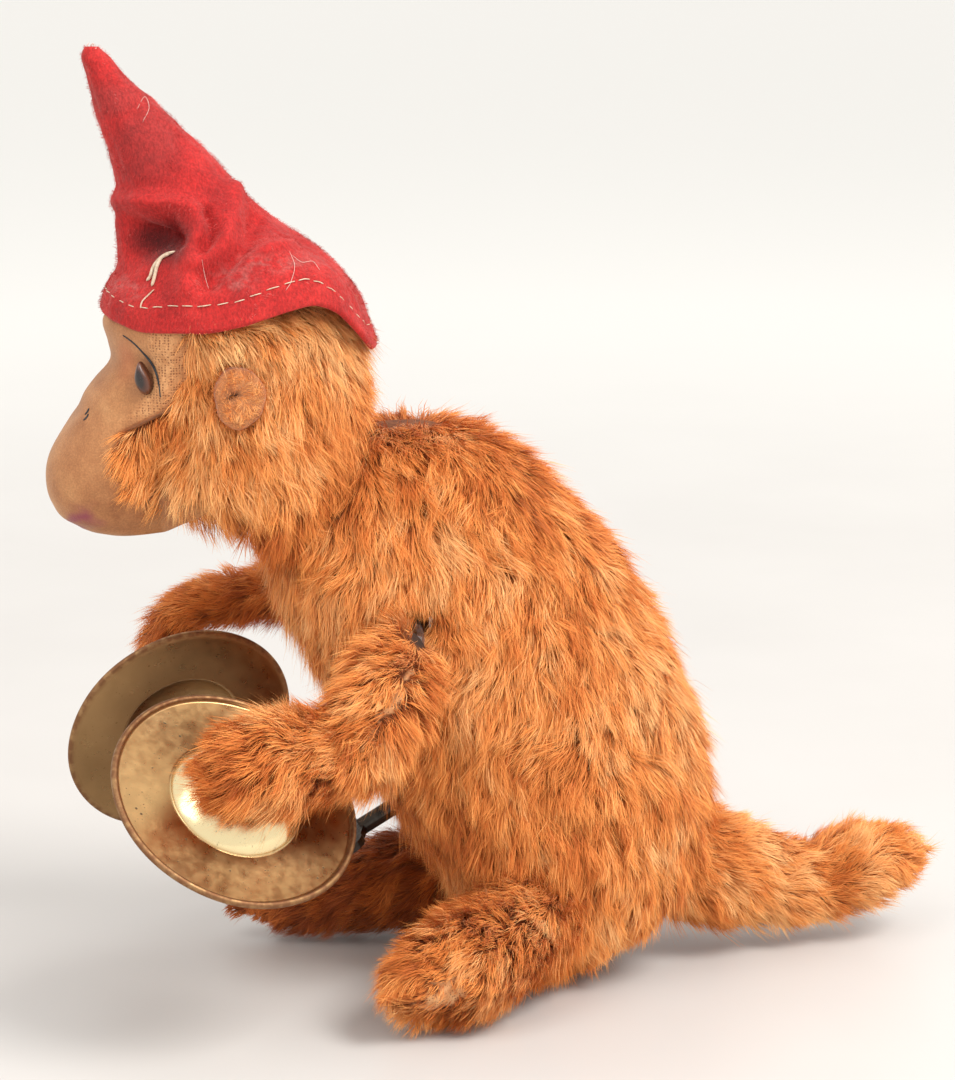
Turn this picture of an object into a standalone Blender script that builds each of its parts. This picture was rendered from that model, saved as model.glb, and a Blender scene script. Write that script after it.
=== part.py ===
"""A clockwork cymbal-playing toy monkey, seated, in metres, +Z up.

The origin is on the flat seat of the body.  The toy faces -Y and its left side is +X.
The motor is laid out in its own frame, an empty whose X is the toy's X, whose Y runs up
the plates and whose Z runs forward and down along the winding arbor.
"""
import math

import bmesh
import bpy
from mathutils import Matrix, Vector

MM = 0.001

# body: height, front, back and half width of each level, in millimetres
BODY_LEVELS = [
    (0, -12, 10, 15), (3.5, -16, 16, 20.5), (10, -18, 23, 24.5), (20, -22, 32, 27.3),
    (32, -30, 35.7, 28.7), (45, -38, 35, 29.2), (58, -43.8, 31.8, 28.8), (70, -50.5, 27, 28),
    (82, -56.3, 20.5, 26.8), (94, -58.5, 12.5, 24.4), (104, -56, 3.5, 21.3), (112, -49, -5, 17.5),
    (117, -43, -13, 13), (119.5, -36, -22, 6),
]
BODY_SIDES = 20
BODY_PLUMPNESS = 2.35
COVER_WALL = 2.4 * MM
SHELL_INSET = 4.6                    # millimetres from the cover's outside to the tin shell
SHELL_WALL = 0.6 * MM
SHELL_TOP = 10                       # levels used by the tin shell, open above them

# head: polar levels about a vertical axis
HEAD_Y = -61.0
HEAD_Z = 120.0
HEAD_DEPTH = 25.0
HEAD_WIDTH = 25.0
HEAD_RISE = 31.0
HEAD_LEVELS = [95, 97, 101, 106, 111, 116, 121, 126, 131, 136, 141, 146]
FACE_PROFILE = [(95, -89), (96, -93), (99, -98), (103, -101), (108, -102), (113, -101), (118, -97),
                (122, -94), (127, -91), (131, -89), (136, -89), (141, -86), (146, -77)]
MUZZLE_RADIUS = [(95, 11), (99, 13), (108, 14), (120, 14), (131, 19), (141, 22), (146, 15)]
MASK_EDGE = [(95, 60), (97, 60), (103, 48), (109, 37), (115, 36), (120, 42), (125, 50),
             (132, 57), (141, 59), (146, 59)]
HEAD_SIDES = 30
MASK_WALL = 0.8 * MM
HOOD_WALL = 1.8 * MM
FORM_INSET = 4.3

EYE = (16.0, -83.8, 130.5)
EYE_SIZE = (2.2, 3.0, 2.1)
EYE_TURN = 35.0
EAR = (25.1, -66.0, 127.0)
EAR_RADIUS = 5.4

# cap: centre Y, centre Z, half depth, half width, slope of the ring
CAP_LEVELS = [
    (-62.5, 137.5, 27.5, 26.5, -0.164), (-64, 144.5, 24.7, 24.7, 0), (-65.5, 152, 20, 20, 0),
    (-71, 159.5, 14.6, 15, 0), (-76, 168.5, 11.4, 11.6, 0), (-81.3, 177, 8.3, 8.3, 0),
    (-86.5, 184.5, 5.2, 5.2, 0), (-89.2, 191, 2.6, 2.6, 0), (-89.8, 193, 1.4, 1.4, 0),
]
CAP_SIDES = 18
CAP_WALL = 1.1 * MM

# limbs: route and radius in millimetres
LEFT_LEG = [((15, -6, 17), 10.0), ((23, -14, 13.5), 11.3), ((31, -25, 11.2), 10.8), ((36, -33, 10.2), 9.4),
            ((38.3, -38, 9.6), 5.5)]
RIGHT_LEG = [((-14, -6, 18), 10.0), ((-19, -20, 14), 11.6), ((-22, -37, 11), 10.4), ((-24, -51, 8.8), 8.4),
             ((-25, -60, 7.5), 4.6)]
TAIL = [((0, 26, 21), 11.0), ((0, 40, 16.5), 11.8), ((0, 53, 13), 9.6), ((0, 66, 13.4), 9.4),
        ((0, 77, 16), 9.0), ((0, 81.5, 15.5), 5.0)]

# arms: route of the wire from the shoulder to the hand
PIVOT = (12.0, -31.0, 80.0)
SWING_AXIS = Vector((0, -math.sin(math.radians(60)), math.cos(math.radians(60))))
WIRE_RADIUS = 1.0
LEFT_ROUTE = [(22, -31.0, 79.8), (29.5, -32, 77), (33.5, -36, 70.5), (35.3, -42, 62.8), (36.2, -49, 59.2),
              (37.4, -56.5, 58.9)]
RIGHT_ROUTE = [(-22, -31.3, 79.9), (-29, -36, 79.5), (-33, -48, 76.5), (-36, -60, 74), (-39, -69, 71.5),
               (-42.2, -74.5, 66), (-43.6, -76.3, 60)]
LEFT_SLEEVE = [((27.6, -31.6, 78.0), 7.2), ((31, -33.4, 74), 8.2), ((34, -37.2, 68), 8.8),
               ((35.3, -42, 62.4), 8.8)]
RIGHT_SLEEVE = [((-27, -33.5, 79.3), 6.4), ((-30.5, -41, 78.2), 7.4), ((-34, -52, 75.6), 7.6)]
LEFT_FOREARM = [((36.0, -47.2, 60.0), 8.2), ((36.8, -52, 59.2), 8.4), ((38.2, -58, 59.8), 8.4),
                ((39.6, -64, 61.0), 8.0), ((40.6, -69, 62.2), 6.0)]
RIGHT_FOREARM = [((-35, -55.5, 74.8), 7.6), ((-37, -61, 73.6), 8.0), ((-40.5, -69, 71), 7.8),
                 ((-43.6, -74, 65), 7.4), ((-45, -76.4, 58.6), 7.0), ((-45.4, -77.4, 53.0), 5.4)]
SLOT_SIZE = (26, 12.5, 20)
SLOT_PLACE = (29, -34.6, 73.8)
HORN_REACH = 14.0
HORN_DROP = 8.0

# cymbals
CYMBAL_RADIUS = 25.4
CYMBAL_WALL = 0.5
DOME_RADIUS = 13.3
DOME_HEIGHT = 6.0
LEFT_CYMBAL = ((32.4, -69.2, 49.2), (0.57, 0.30, 0.77))
RIGHT_CYMBAL = ((-31.0, -73.0, 46.0), (-0.90, -0.25, 0.36))
RING_HEIGHT = 3.2                    # from the dome's top to the middle of the hand ring
RING_RADIUS = 2.4
STUD_RADIUS = 0.9

# motor, in its own frame
MOTOR_PLACE = (0, -12.2, 47.0)
MOTOR_TILT = math.radians(120)
PLATE_X = 17.0
PLATE_LOW = -17.0
PLATE_HIGH = 27.0
PLATE_WALL = 1.0
FRONT_PLATE_Z = 5.5
REAR_PLATE_Z = -13.5
PILLARS = [(14, -14), (-14, -14), (14, 24), (-14, 24)]
MODULE = 0.7
GREAT_TEETH = 30
SECOND_TEETH = 24
CAM_TEETH = 20
PINION_TEETH = 8
RATCHET_TEETH = 8
SECOND_AT = (8.25, 10.43)
CAM_AT = (0.0, 18.0)
FLY_AT = (-9.3, 14.91)
ARBOR = 1.1
CLICK_AT = (-5.6, -5.0)
CLICK_OUTLINE = [(2.4, 4.6), (1.3, 4.6), (-1.5, 0.6), (-1.3, -1.0), (0, -1.7), (1.4, -1.0), (1.6, 0.4)]
CLICK_LIFT = math.radians(10)        # the click rides on the tips of the ratchet's teeth
CLICK_LAYER = (1.1, 2.0)
RATCHET_LAYER = (1.1, 2.1)
RATCHET_ROOT = 2.6
RATCHET_TIP = 3.9
GREAT_LAYER = (-1.0, 0.5)
RIVET_LAYER = (0.2, 2.1)
SECOND_PINION_LAYER = (-1.8, 1.3)
SECOND_WHEEL_LAYER = (2.6, 3.8)
CAM_PINION_LAYER = (2.1, 4.3)
CAM_WHEEL_LAYER = (-4.2, -3.0)
FLY_PINION_LAYER = (-4.8, -2.4)
FLY_VANE_LAYER = (-11.0, -6.5)
FLY_VANE = [(-4.6, -0.5), (4.6, -0.5), (4.6, 0.5), (-4.6, 0.5)]
REAR_END = 1.2                       # arbors reach this far past the rear plate
FRONT_END = 0.4                      # and this far into the front plate
CAM_END = 2.1                        # the cam arbor reaches through it
CAM_POINTS = 28
CAM_LOW = 3.6
CAM_RISE = 7.0
SPRING_TURNS = 6
KEY_START = 9.0
KEY_END = 31.0


def v(point):
    return Vector(point) * MM


def level(table, z):
    """Straight-line reading of a two-column table."""
    if z <= table[0][0]:
        return table[0][1]
    for (z0, a), (z1, b) in zip(table, table[1:]):
        if z <= z1:
            return a + (b - a) * (z - z0) / (z1 - z0)
    return table[-1][1]


# ---------------------------------------------------------------- scene and helpers

for old in list(bpy.data.objects):
    bpy.data.objects.remove(old, do_unlink=True)

TOY = bpy.data.collections.new("cymbal_monkey")
CUTTERS = bpy.data.collections.new("cutters")
bpy.context.scene.collection.children.link(TOY)
bpy.context.scene.collection.children.link(CUTTERS)


def material(name, colour, roughness, metallic=0.0):
    made = bpy.data.materials.new(name)
    made.use_nodes = True
    shader = made.node_tree.nodes["Principled BSDF"]
    shader.inputs["Base Color"].default_value = (*colour, 1)
    shader.inputs["Roughness"].default_value = roughness
    shader.inputs["Metallic"].default_value = metallic
    return made


MOHAIR = material("mohair", (0.52, 0.25, 0.07), 0.9)
FACE_CLOTH = material("face_cloth", (0.55, 0.40, 0.24), 0.85)
EAR_FELT = material("ear_felt", (0.50, 0.36, 0.22), 0.9)
CAP_FELT = material("cap_felt", (0.42, 0.05, 0.03), 0.9)
EYE_GLASS = material("eye_glass", (0.03, 0.03, 0.035), 0.08)
BRASSED = material("brassed_tin", (0.80, 0.55, 0.22), 0.25, 1.0)
TIN = material("tin_plate", (0.55, 0.55, 0.53), 0.4, 1.0)
STEEL = material("spring_steel", (0.30, 0.31, 0.33), 0.35, 1.0)
WIRE = material("steel_wire", (0.40, 0.40, 0.40), 0.35, 1.0)
BRASS = material("brass", (0.72, 0.52, 0.22), 0.3, 1.0)
STUFFING = material("stuffing", (0.60, 0.50, 0.34), 1.0)


def keep(obj, colour, parent=None):
    """Puts a finished piece in the toy's collection with its one material."""
    obj.data.materials.clear()
    obj.data.materials.append(colour)
    if TOY.objects.get(obj.name) is None:
        TOY.objects.link(obj)
    obj.parent = parent
    return obj


def hide(obj):
    """Makes an object a cutter."""
    for owner in list(obj.users_collection):
        owner.objects.unlink(obj)
    CUTTERS.objects.link(obj)
    obj.hide_render = True
    obj.display_type = "WIRE"
    return obj


def mesh_object(name, points, faces):
    mesh = bpy.data.meshes.new(name)
    mesh.from_pydata([Vector(p) * MM for p in points], [], faces)
    maker = bmesh.new()
    maker.from_mesh(mesh)
    bmesh.ops.recalc_face_normals(maker, faces=maker.faces)
    maker.to_mesh(mesh)
    maker.free()
    mesh.shade_smooth()
    mesh.set_sharp_from_angle(angle=math.radians(40))
    obj = bpy.data.objects.new(name, mesh)
    TOY.objects.link(obj)
    return obj


def loft(name, rings, closed=True, low_cap=True, high_cap=True):
    """Skins rings that have the same number of points; an open ring leaves its two ends free."""
    count = len(rings[0])
    points = [p for ring in rings for p in ring]
    faces = []
    for r in range(len(rings) - 1):
        for i in range(count if closed else count - 1):
            j = (i + 1) % count
            faces.append((r * count + i, r * count + j, (r + 1) * count + j, (r + 1) * count + i))
    if low_cap:
        faces.append(tuple(reversed(range(count))))
    if high_cap:
        last = (len(rings) - 1) * count
        faces.append(tuple(range(last, last + count)))
    return mesh_object(name, points, faces)


def solidify(obj, wall):
    """Gives an open surface a wall on its inner side."""
    made = obj.modifiers.new("wall", "SOLIDIFY")
    made.thickness = wall
    made.offset = -1
    made.use_even_offset = True
    return obj


def boolean(obj, other, operation="DIFFERENCE"):
    made = obj.modifiers.new(operation.lower(), "BOOLEAN")
    made.operation = operation
    made.solver = "EXACT"
    made.object = other
    return obj


def freeze(obj):
    """Turns an object with modifiers, or a curve, into a plain mesh object of the same name."""
    bpy.context.view_layer.update()
    graph = bpy.context.evaluated_depsgraph_get()
    mesh = bpy.data.meshes.new_from_object(obj.evaluated_get(graph))
    maker = bmesh.new()
    maker.from_mesh(mesh)
    bmesh.ops.remove_doubles(maker, verts=maker.verts, dist=1e-6)
    bmesh.ops.recalc_face_normals(maker, faces=maker.faces)
    maker.to_mesh(mesh)
    maker.free()
    name = obj.name
    place = obj.matrix_world.copy()
    bpy.data.objects.remove(obj, do_unlink=True)
    made = bpy.data.objects.new(name, mesh)
    made.matrix_world = place
    TOY.objects.link(made)
    return made


def union(name, pieces):
    """Joins overlapping mesh objects into one closed body."""
    first = pieces[0]
    for other in pieces[1:]:
        boolean(first, other, "UNION")
    made = freeze(first)
    for other in pieces[1:]:
        bpy.data.objects.remove(other, do_unlink=True)
    made.name = name
    made.data.shade_smooth()
    made.data.set_sharp_from_angle(angle=math.radians(40))
    return made


def cut(obj, cutters):
    """Takes cutters out of an object for good; the cutters stay."""
    for other in cutters:
        boolean(obj, other)
    made = freeze(obj)
    made.data.shade_smooth()
    made.data.set_sharp_from_angle(angle=math.radians(40))
    return made


def pivot_at(obj, place):
    """Moves an unparented object's origin to a world point, in metres."""
    obj.data.transform(obj.matrix_world)
    obj.data.transform(Matrix.Translation(-place))
    obj.matrix_world = Matrix.Translation(place)
    return obj


def smooth_route(route, steps):
    """Catmull-Rom points through a route of (point, radius) pairs."""
    padded = [route[0]] + list(route) + [route[-1]]
    made = []
    for k in range(1, len(padded) - 2):
        for s in range(steps):
            made.append(blend_at(padded[k - 1:k + 3], s / steps))
    made.append((Vector(route[-1][0]), route[-1][1]))
    return made


def blend_at(four, t):
    weights = (-0.5 * t + t * t - 0.5 * t ** 3, 1 - 2.5 * t * t + 1.5 * t ** 3,
               0.5 * t + 2 * t * t - 1.5 * t ** 3, -0.5 * t * t + 0.5 * t ** 3)
    place = sum((Vector(p) * k for (p, r), k in zip(four, weights)), Vector())
    return place, sum(r * k for (p, r), k in zip(four, weights))


def tube(name, route, steps=2, resolution=2):
    """A tapered tube through (point, radius) pairs, as a closed mesh."""
    curve = bpy.data.curves.new(name, "CURVE")
    curve.dimensions = "3D"
    curve.bevel_depth = MM
    curve.bevel_resolution = resolution
    curve.use_fill_caps = True
    points = smooth_route(route, steps)
    spline = curve.splines.new("POLY")
    spline.points.add(len(points) - 1)
    for slot, (place, radius) in zip(spline.points, points):
        slot.co = (*(place * MM), 1)
        slot.radius = radius
    obj = bpy.data.objects.new(name, curve)
    TOY.objects.link(obj)
    return freeze(obj)


def wire(name, route, radius=WIRE_RADIUS, steps=2):
    return tube(name, [(p, radius) for p in route], steps, 1)


def cylinder(name, radius, low, high, at=(0, 0), sides=20):
    """A cylinder along the local Z axis, in millimetres."""
    mesh = bpy.data.meshes.new(name)
    maker = bmesh.new()
    bmesh.ops.create_cone(maker, cap_ends=True, segments=sides, radius1=radius * MM, radius2=radius * MM,
                          depth=(high - low) * MM)
    bmesh.ops.translate(maker, verts=maker.verts, vec=v((at[0], at[1], (low + high) / 2)))
    maker.to_mesh(mesh)
    maker.free()
    obj = bpy.data.objects.new(name, mesh)
    TOY.objects.link(obj)
    return obj


def box(name, size, centre):
    mesh = bpy.data.meshes.new(name)
    maker = bmesh.new()
    bmesh.ops.create_cube(maker, size=1)
    bmesh.ops.scale(maker, verts=maker.verts, vec=v(size))
    bmesh.ops.translate(maker, verts=maker.verts, vec=v(centre))
    maker.to_mesh(mesh)
    maker.free()
    obj = bpy.data.objects.new(name, mesh)
    TOY.objects.link(obj)
    return obj


def ring_mesh(name, major, minor, place, axis, sides=12, round_sides=6):
    """A torus about an axis, in millimetres."""
    turn = Vector((0, 0, 1)).rotation_difference(Vector(axis)).to_matrix()
    points = []
    for i in range(sides):
        around = 2 * math.pi * i / sides
        for j in range(round_sides):
            over = 2 * math.pi * j / round_sides
            reach = major + minor * math.cos(over)
            local = Vector((reach * math.cos(around), reach * math.sin(around), minor * math.sin(over)))
            points.append(Vector(place) + turn @ local)
    faces = []
    for i in range(sides):
        for j in range(round_sides):
            faces.append((i * round_sides + j, ((i + 1) % sides) * round_sides + j,
                          ((i + 1) % sides) * round_sides + (j + 1) % round_sides,
                          i * round_sides + (j + 1) % round_sides))
    return mesh_object(name, points, faces)


def flat(name, outlines, low, high):
    """An extruded flat outline, with any further outlines as holes."""
    curve = bpy.data.curves.new(name, "CURVE")
    curve.dimensions = "2D"
    curve.fill_mode = "BOTH"
    curve.extrude = (high - low) / 2 * MM
    for outline in outlines:
        spline = curve.splines.new("POLY")
        spline.points.add(len(outline) - 1)
        spline.use_cyclic_u = True
        for slot, (x, y) in zip(spline.points, outline):
            slot.co = (x * MM, y * MM, 0, 1)
    obj = bpy.data.objects.new(name, curve)
    TOY.objects.link(obj)
    made = freeze(obj)
    made.data.transform(Matrix.Translation(v((0, 0, (low + high) / 2))))
    return made


def circle(radius, sides=20, at=(0, 0)):
    return [(at[0] + radius * math.cos(2 * math.pi * i / sides),
             at[1] + radius * math.sin(2 * math.pi * i / sides)) for i in range(sides)]


# ---------------------------------------------------------------- body

def plump(value):
    """Fills an ellipse out towards a rounded box."""
    return math.copysign(abs(value) ** (2 / BODY_PLUMPNESS), value)


def body_ring(entry, inset=0.0, half=False):
    z, front, back, width = entry
    middle = (front + back) / 2
    depth = (back - front) / 2 - inset
    width = width - inset
    made = []
    count = BODY_SIDES // 2 if half else BODY_SIDES
    for i in range(count + 1 if half else count):
        turn = math.pi * i / count if half else 2 * math.pi * i / count
        across = width * plump(math.sin(turn))
        made.append((max(across, 0.2) if half else across, middle - depth * plump(math.cos(turn)), z))
    return made


def body_levels(inset):
    """Levels pulled in by a wall; the lowest one also rises."""
    levels = [list(entry) for entry in BODY_LEVELS]
    for entry in levels:
        if entry[0] < inset:
            entry[0] = inset + entry[0] * 0.1
        if entry[0] > BODY_LEVELS[-1][0] - inset:
            entry[0] -= inset
    return levels


def body_solid(name, inset):
    return loft(name, [body_ring(entry, inset) for entry in body_levels(max(inset, 0))])


def key_bore(radius):
    """A cutter along the winding arbor's line, out through the belly."""
    obj = cylinder("key_bore", radius, 10, 60, sides=16)
    obj.matrix_world = MOTOR.matrix_world
    return hide(obj)


def slot_cutter(side):
    obj = box("slot_cutter", SLOT_SIZE, (side * SLOT_PLACE[0], SLOT_PLACE[1], SLOT_PLACE[2]))
    return hide(obj)


def make_body(head_cutter):
    cutters = [head_cutter, key_bore(2.6), slot_cutter(1), slot_cutter(-1)]
    cover = solidify(body_solid("body_cover", 0), COVER_WALL)
    keep(cut(cover, cutters), MOHAIR)
    halves = body_levels(SHELL_INSET)[:SHELL_TOP + 3]
    half = loft("left_body_shell", [body_ring(entry, SHELL_INSET, True) for entry in halves],
                closed=False, low_cap=True, high_cap=False)
    left = cut(solidify(half, SHELL_WALL), cutters)
    mirrored = left.data.copy()
    mirrored.transform(Matrix.Scale(-1, 4, (1, 0, 0)))
    mirrored.flip_normals()
    right = bpy.data.objects.new("right_body_shell", mirrored)
    keep(left, TIN)
    keep(right, TIN)


# ---------------------------------------------------------------- head

def head_radius(z, turn, inset):
    """Distance from the head's upright axis to its surface; turn is 0 at the nose."""
    rise = min(abs(z - HEAD_Z) / HEAD_RISE, 0.98)
    shrink = (1 - rise ** 2.6) ** (1 / 2.6)
    depth = HEAD_DEPTH * shrink
    width = HEAD_WIDTH * shrink
    skull = 1 / math.hypot(math.cos(turn) / depth, math.sin(turn) / width)
    reach = HEAD_Y - level(FACE_PROFILE, z)
    radius = level(MUZZLE_RADIUS, z)
    offset = reach - radius
    inside = radius ** 2 - (offset * math.sin(turn)) ** 2
    muzzle = 0.0
    if inside > 0 and math.cos(turn) > 0:
        muzzle = offset * math.cos(turn) + math.sqrt(inside)
    return (skull ** 12 + muzzle ** 12) ** (1 / 12) - inset


def head_point(z, turn, inset):
    radius = head_radius(z, turn, inset)
    return (radius * math.sin(turn), HEAD_Y - radius * math.cos(turn), z)


def head_solid(name, inset):
    rings = []
    for z in HEAD_LEVELS:
        place = HEAD_Z + (z - HEAD_Z) * (1 - inset / HEAD_RISE)
        rings.append([(x, y, place) for x, y, _ in
                      (head_point(z, 2 * math.pi * i / HEAD_SIDES, inset) for i in range(HEAD_SIDES))])
    return loft(name, rings)


def face_sheet(name, start, stop, count):
    """Part of the head's surface between two turns, each a function of the height."""
    rings = []
    for z in HEAD_LEVELS:
        first = start(z)
        last = stop(z)
        rings.append([head_point(z, first + (last - first) * i / count, 0) for i in range(count + 1)])
    return loft(name, rings, closed=False, low_cap=False, high_cap=False)


def eye_ball(name, side, grow):
    """A lens-shaped glass eye, or its socket when grown."""
    mesh = bpy.data.meshes.new(name)
    maker = bmesh.new()
    bmesh.ops.create_uvsphere(maker, u_segments=16, v_segments=10, radius=MM)
    size = Vector((EYE_SIZE[0] + grow, EYE_SIZE[1] + grow, EYE_SIZE[2] + grow))
    bmesh.ops.scale(maker, verts=maker.verts, vec=size)
    maker.to_mesh(mesh)
    maker.free()
    mesh.shade_smooth()
    obj = bpy.data.objects.new(name, mesh)
    TOY.objects.link(obj)
    obj.location = v((side * EYE[0], EYE[1], EYE[2]))
    obj.rotation_euler = (0, 0, side * math.radians(EYE_TURN))
    return obj


def make_head():
    sockets = [hide(eye_ball("left_socket", 1, 0.35)), hide(eye_ball("right_socket", -1, 0.35))]
    form = cut(head_solid("head_form", FORM_INSET), sockets)
    keep(form, STUFFING)
    seam = math.radians(0.9)
    mask = face_sheet("face_mask", lambda z: -math.radians(level(MASK_EDGE, z)),
                      lambda z: math.radians(level(MASK_EDGE, z)), 14)
    keep(cut(solidify(mask, MASK_WALL), sockets), FACE_CLOTH)
    hood = face_sheet("head_cover", lambda z: math.radians(level(MASK_EDGE, z)) + seam,
                      lambda z: 2 * math.pi - math.radians(level(MASK_EDGE, z)) - seam, 14)
    keep(freeze(solidify(hood, HOOD_WALL)), MOHAIR)
    for side, name in ((1, "left"), (-1, "right")):
        keep(eye_ball(name + "_eye", side, 0), EYE_GLASS)
        make_ear(name + "_ear", side)


def make_ear(name, side):
    """A dished felt disc, its hollow outwards."""
    profile = [(0.0, 0.9), (2.2, 1.1), (4.4, 1.7), (EAR_RADIUS, 1.5), (EAR_RADIUS, 0.7), (4.2, 0.2), (0.0, 0.0)]
    ear = turned(name, profile, 20)
    ear.matrix_world = Matrix.Translation(v((side * EAR[0], EAR[1], EAR[2]))) @ aim((side, -0.15, 0.05))
    keep(ear, EAR_FELT)


def make_cap():
    rings = []
    for middle, high, depth, width, slope in CAP_LEVELS:
        ring = []
        for i in range(CAP_SIDES):
            turn = 2 * math.pi * i / CAP_SIDES
            forward = -depth * math.cos(turn)
            ring.append((width * math.sin(turn), middle + forward, high + slope * forward))
        rings.append(ring)
    cap = loft("cap", rings, low_cap=False)
    keep(freeze(solidify(cap, CAP_WALL)), CAP_FELT)


# ---------------------------------------------------------------- turned pieces

def aim(direction):
    """A turn that points local Z along a direction."""
    return Vector((0, 0, 1)).rotation_difference(Vector(direction)).to_matrix().to_4x4()


def turned(name, profile, sides):
    """A closed turned body; the profile is (radius, height) in millimetres, outside running down."""
    mesh = bpy.data.meshes.new(name)
    mesh.from_pydata([(r * MM, 0, h * MM) for r, h in profile], [(i, i + 1) for i in range(len(profile) - 1)], [])
    obj = bpy.data.objects.new(name, mesh)
    TOY.objects.link(obj)
    screw = obj.modifiers.new("turn", "SCREW")
    screw.steps = sides
    screw.render_steps = sides
    screw.use_merge_vertices = True
    screw.merge_threshold = 0.00001
    screw.use_normal_calculate = True
    made = freeze(obj)
    made.data.shade_smooth()
    made.data.set_sharp_from_angle(angle=math.radians(40))
    return made


def cymbal_profile():
    """Outer side down the dome to the rolled rim and back along the inner side."""
    top = DOME_HEIGHT
    outer = [(1.5, top)]
    for k in range(1, 5):
        part = k / 4
        outer.append((1.5 + (DOME_RADIUS - 1.5) * part, 0.9 + (top - 0.9) * math.cos(part * math.pi / 2) ** 0.8))
    outer.append((CYMBAL_RADIUS - 1.6, 0.35))
    bead = [(CYMBAL_RADIUS - 1.1, 1.0), (CYMBAL_RADIUS - 0.3, 1.1), (CYMBAL_RADIUS, 0.4),
            (CYMBAL_RADIUS - 0.5, -0.15)]
    inner = [(CYMBAL_RADIUS - 1.6, -CYMBAL_WALL + 0.3)]
    for k in range(4, 0, -1):
        part = k / 4
        inner.append((1.5 + (DOME_RADIUS - 1.9) * part,
                      0.9 + (top - 0.9) * math.cos(part * math.pi / 2) ** 0.8 - CYMBAL_WALL - 0.1))
    inner.append((1.5, top - CYMBAL_WALL))
    return outer + bead + inner + [outer[0]]


def make_cymbal(side, place, normal):
    turn = aim(normal)
    ring = ring_centre(place, normal)
    cymbal = turned(side + "_cymbal", cymbal_profile(), 24)
    cymbal.matrix_world = Matrix.Translation(v(place)) @ turn
    keep(pivot_at(cymbal, ring * MM), BRASSED)
    top = DOME_HEIGHT
    head = top + RING_HEIGHT + 2.9
    profile = [(0, head + 1.0), (1.5, head + 0.3), (1.5, head - 0.5), (STUD_RADIUS, head - 1.1),
               (STUD_RADIUS, top + 1.0), (1.9, top + 0.9), (1.9, top + 0.35), (STUD_RADIUS, top + 0.2),
               (STUD_RADIUS, top - 1.0), (2.4, top - 1.1), (2.4, top - 1.8), (0, top - 1.9)]
    stud = turned(side + "_cymbal_stud", profile, 16)
    stud.matrix_world = Matrix.Translation(v(place)) @ turn
    keep(pivot_at(stud, ring * MM), STEEL)


def ring_centre(place, normal):
    return Vector(place) + Vector(normal).normalized() * (DOME_HEIGHT + RING_HEIGHT)


# ---------------------------------------------------------------- arms

def motor_point(x, up, forward):
    """A world point, in millimetres, from the motor's own coordinates."""
    return (MOTOR.matrix_world @ v((x, up, forward))) / MM


def horn_route(side):
    """From the pivot's eye forwards over the bracket, then down in front of the cam."""
    across = Vector((0, -0.5, -math.cos(math.radians(30))))      # square to the swing axis, forwards
    start = Vector((side * abs(PIVOT[0]), PIVOT[1], PIVOT[2]))
    corner = start + across * HORN_REACH
    down = (MOTOR.matrix_world.to_3x3() @ Vector((0, -1, 0))).normalized()
    return [tuple(start + across * 2.6), tuple(start + across * 8), tuple(corner),
            tuple(corner + down * HORN_DROP)]


def arm_wire_route(route, ring, normal):
    """The shoulder-to-hand route, ended at the hand ring's outer edge."""
    last = Vector(route[-1])
    flat_way = last - ring
    flat_way -= flat_way.dot(normal) * normal
    edge = ring + flat_way.normalized() * RING_RADIUS
    return list(route) + [tuple(edge)]


def make_arm(side, sign, route, sleeve, forearm, cymbal):
    place, direction = cymbal
    normal = Vector(direction).normalized()
    ring = ring_centre(place, direction)
    pivot = Vector((sign * PIVOT[0], PIVOT[1], PIVOT[2]))
    start = pivot + Vector((sign * 2.4, 0, 0))
    full = arm_wire_route([tuple(start)] + route, ring, normal)
    pieces = [wire(side + "_arm_lever", full, steps=3),
              ring_mesh("hand_ring", RING_RADIUS, 0.7, ring, normal),
              ring_mesh("pivot_eye", 2.5, 1.0, pivot, SWING_AXIS),
              wire("horn", horn_route(sign), steps=2)]
    lever = union(side + "_arm_lever", pieces)
    bore = hide(wire("wire_bore", full, WIRE_RADIUS + 0.6, steps=3))
    clear = cylinder("cymbal_space", 30, -30, 0.9, sides=24)
    clear.matrix_world = Matrix.Translation(ring * MM) @ aim(normal)
    well = cylinder("stud_space", 4.6, -1, 5.2, sides=16)
    well.matrix_world = clear.matrix_world
    cover = cut(tube(side + "_forearm_cover", forearm), [bore, hide(clear), hide(well)])
    upper = cut(tube(side + "_upper_sleeve", sleeve), [bore, BODY_SPACE])
    for obj, colour in ((lever, WIRE), (cover, MOHAIR), (upper, MOHAIR)):
        keep(pivot_at(obj, pivot * MM), colour)
    pin = turned(side + "_pivot_pin", [(0, 5.0), (2.4, 4.8), (2.4, 3.9), (1.15, 3.7), (1.15, -2.2), (0, -2.3)], 16)
    pin.matrix_world = Matrix.Translation(pivot * MM) @ aim(SWING_AXIS)
    keep(pivot_at(pin, pivot * MM), STEEL)


# ---------------------------------------------------------------- legs and tail

def make_limbs():
    for name, route in (("left_leg", LEFT_LEG), ("right_leg", RIGHT_LEG), ("tail", TAIL)):
        cutters = [BODY_SPACE, FLOOR_SPACE]
        keep(cut(tube(name, route, resolution=3), cutters), MOHAIR)


# ---------------------------------------------------------------- motor

def gear_outline(teeth, phase, module=MODULE):
    """Straight-sided teeth with free play, one of them centred on the phase angle."""
    pitch = module * teeth / 2
    root = pitch - 1.05 * module
    tip = pitch + 0.62 * module
    step = 2 * math.pi / teeth
    made = []
    for k in range(teeth):
        centre = phase + k * step
        for radius, share in ((root, -0.27), (tip, -0.09), (tip, 0.09), (root, 0.27)):
            angle = centre + share * step
            made.append((radius * math.cos(angle), radius * math.sin(angle)))
    return made


def facing(start, stop):
    return math.atan2(stop[1] - start[1], stop[0] - start[0])


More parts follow.
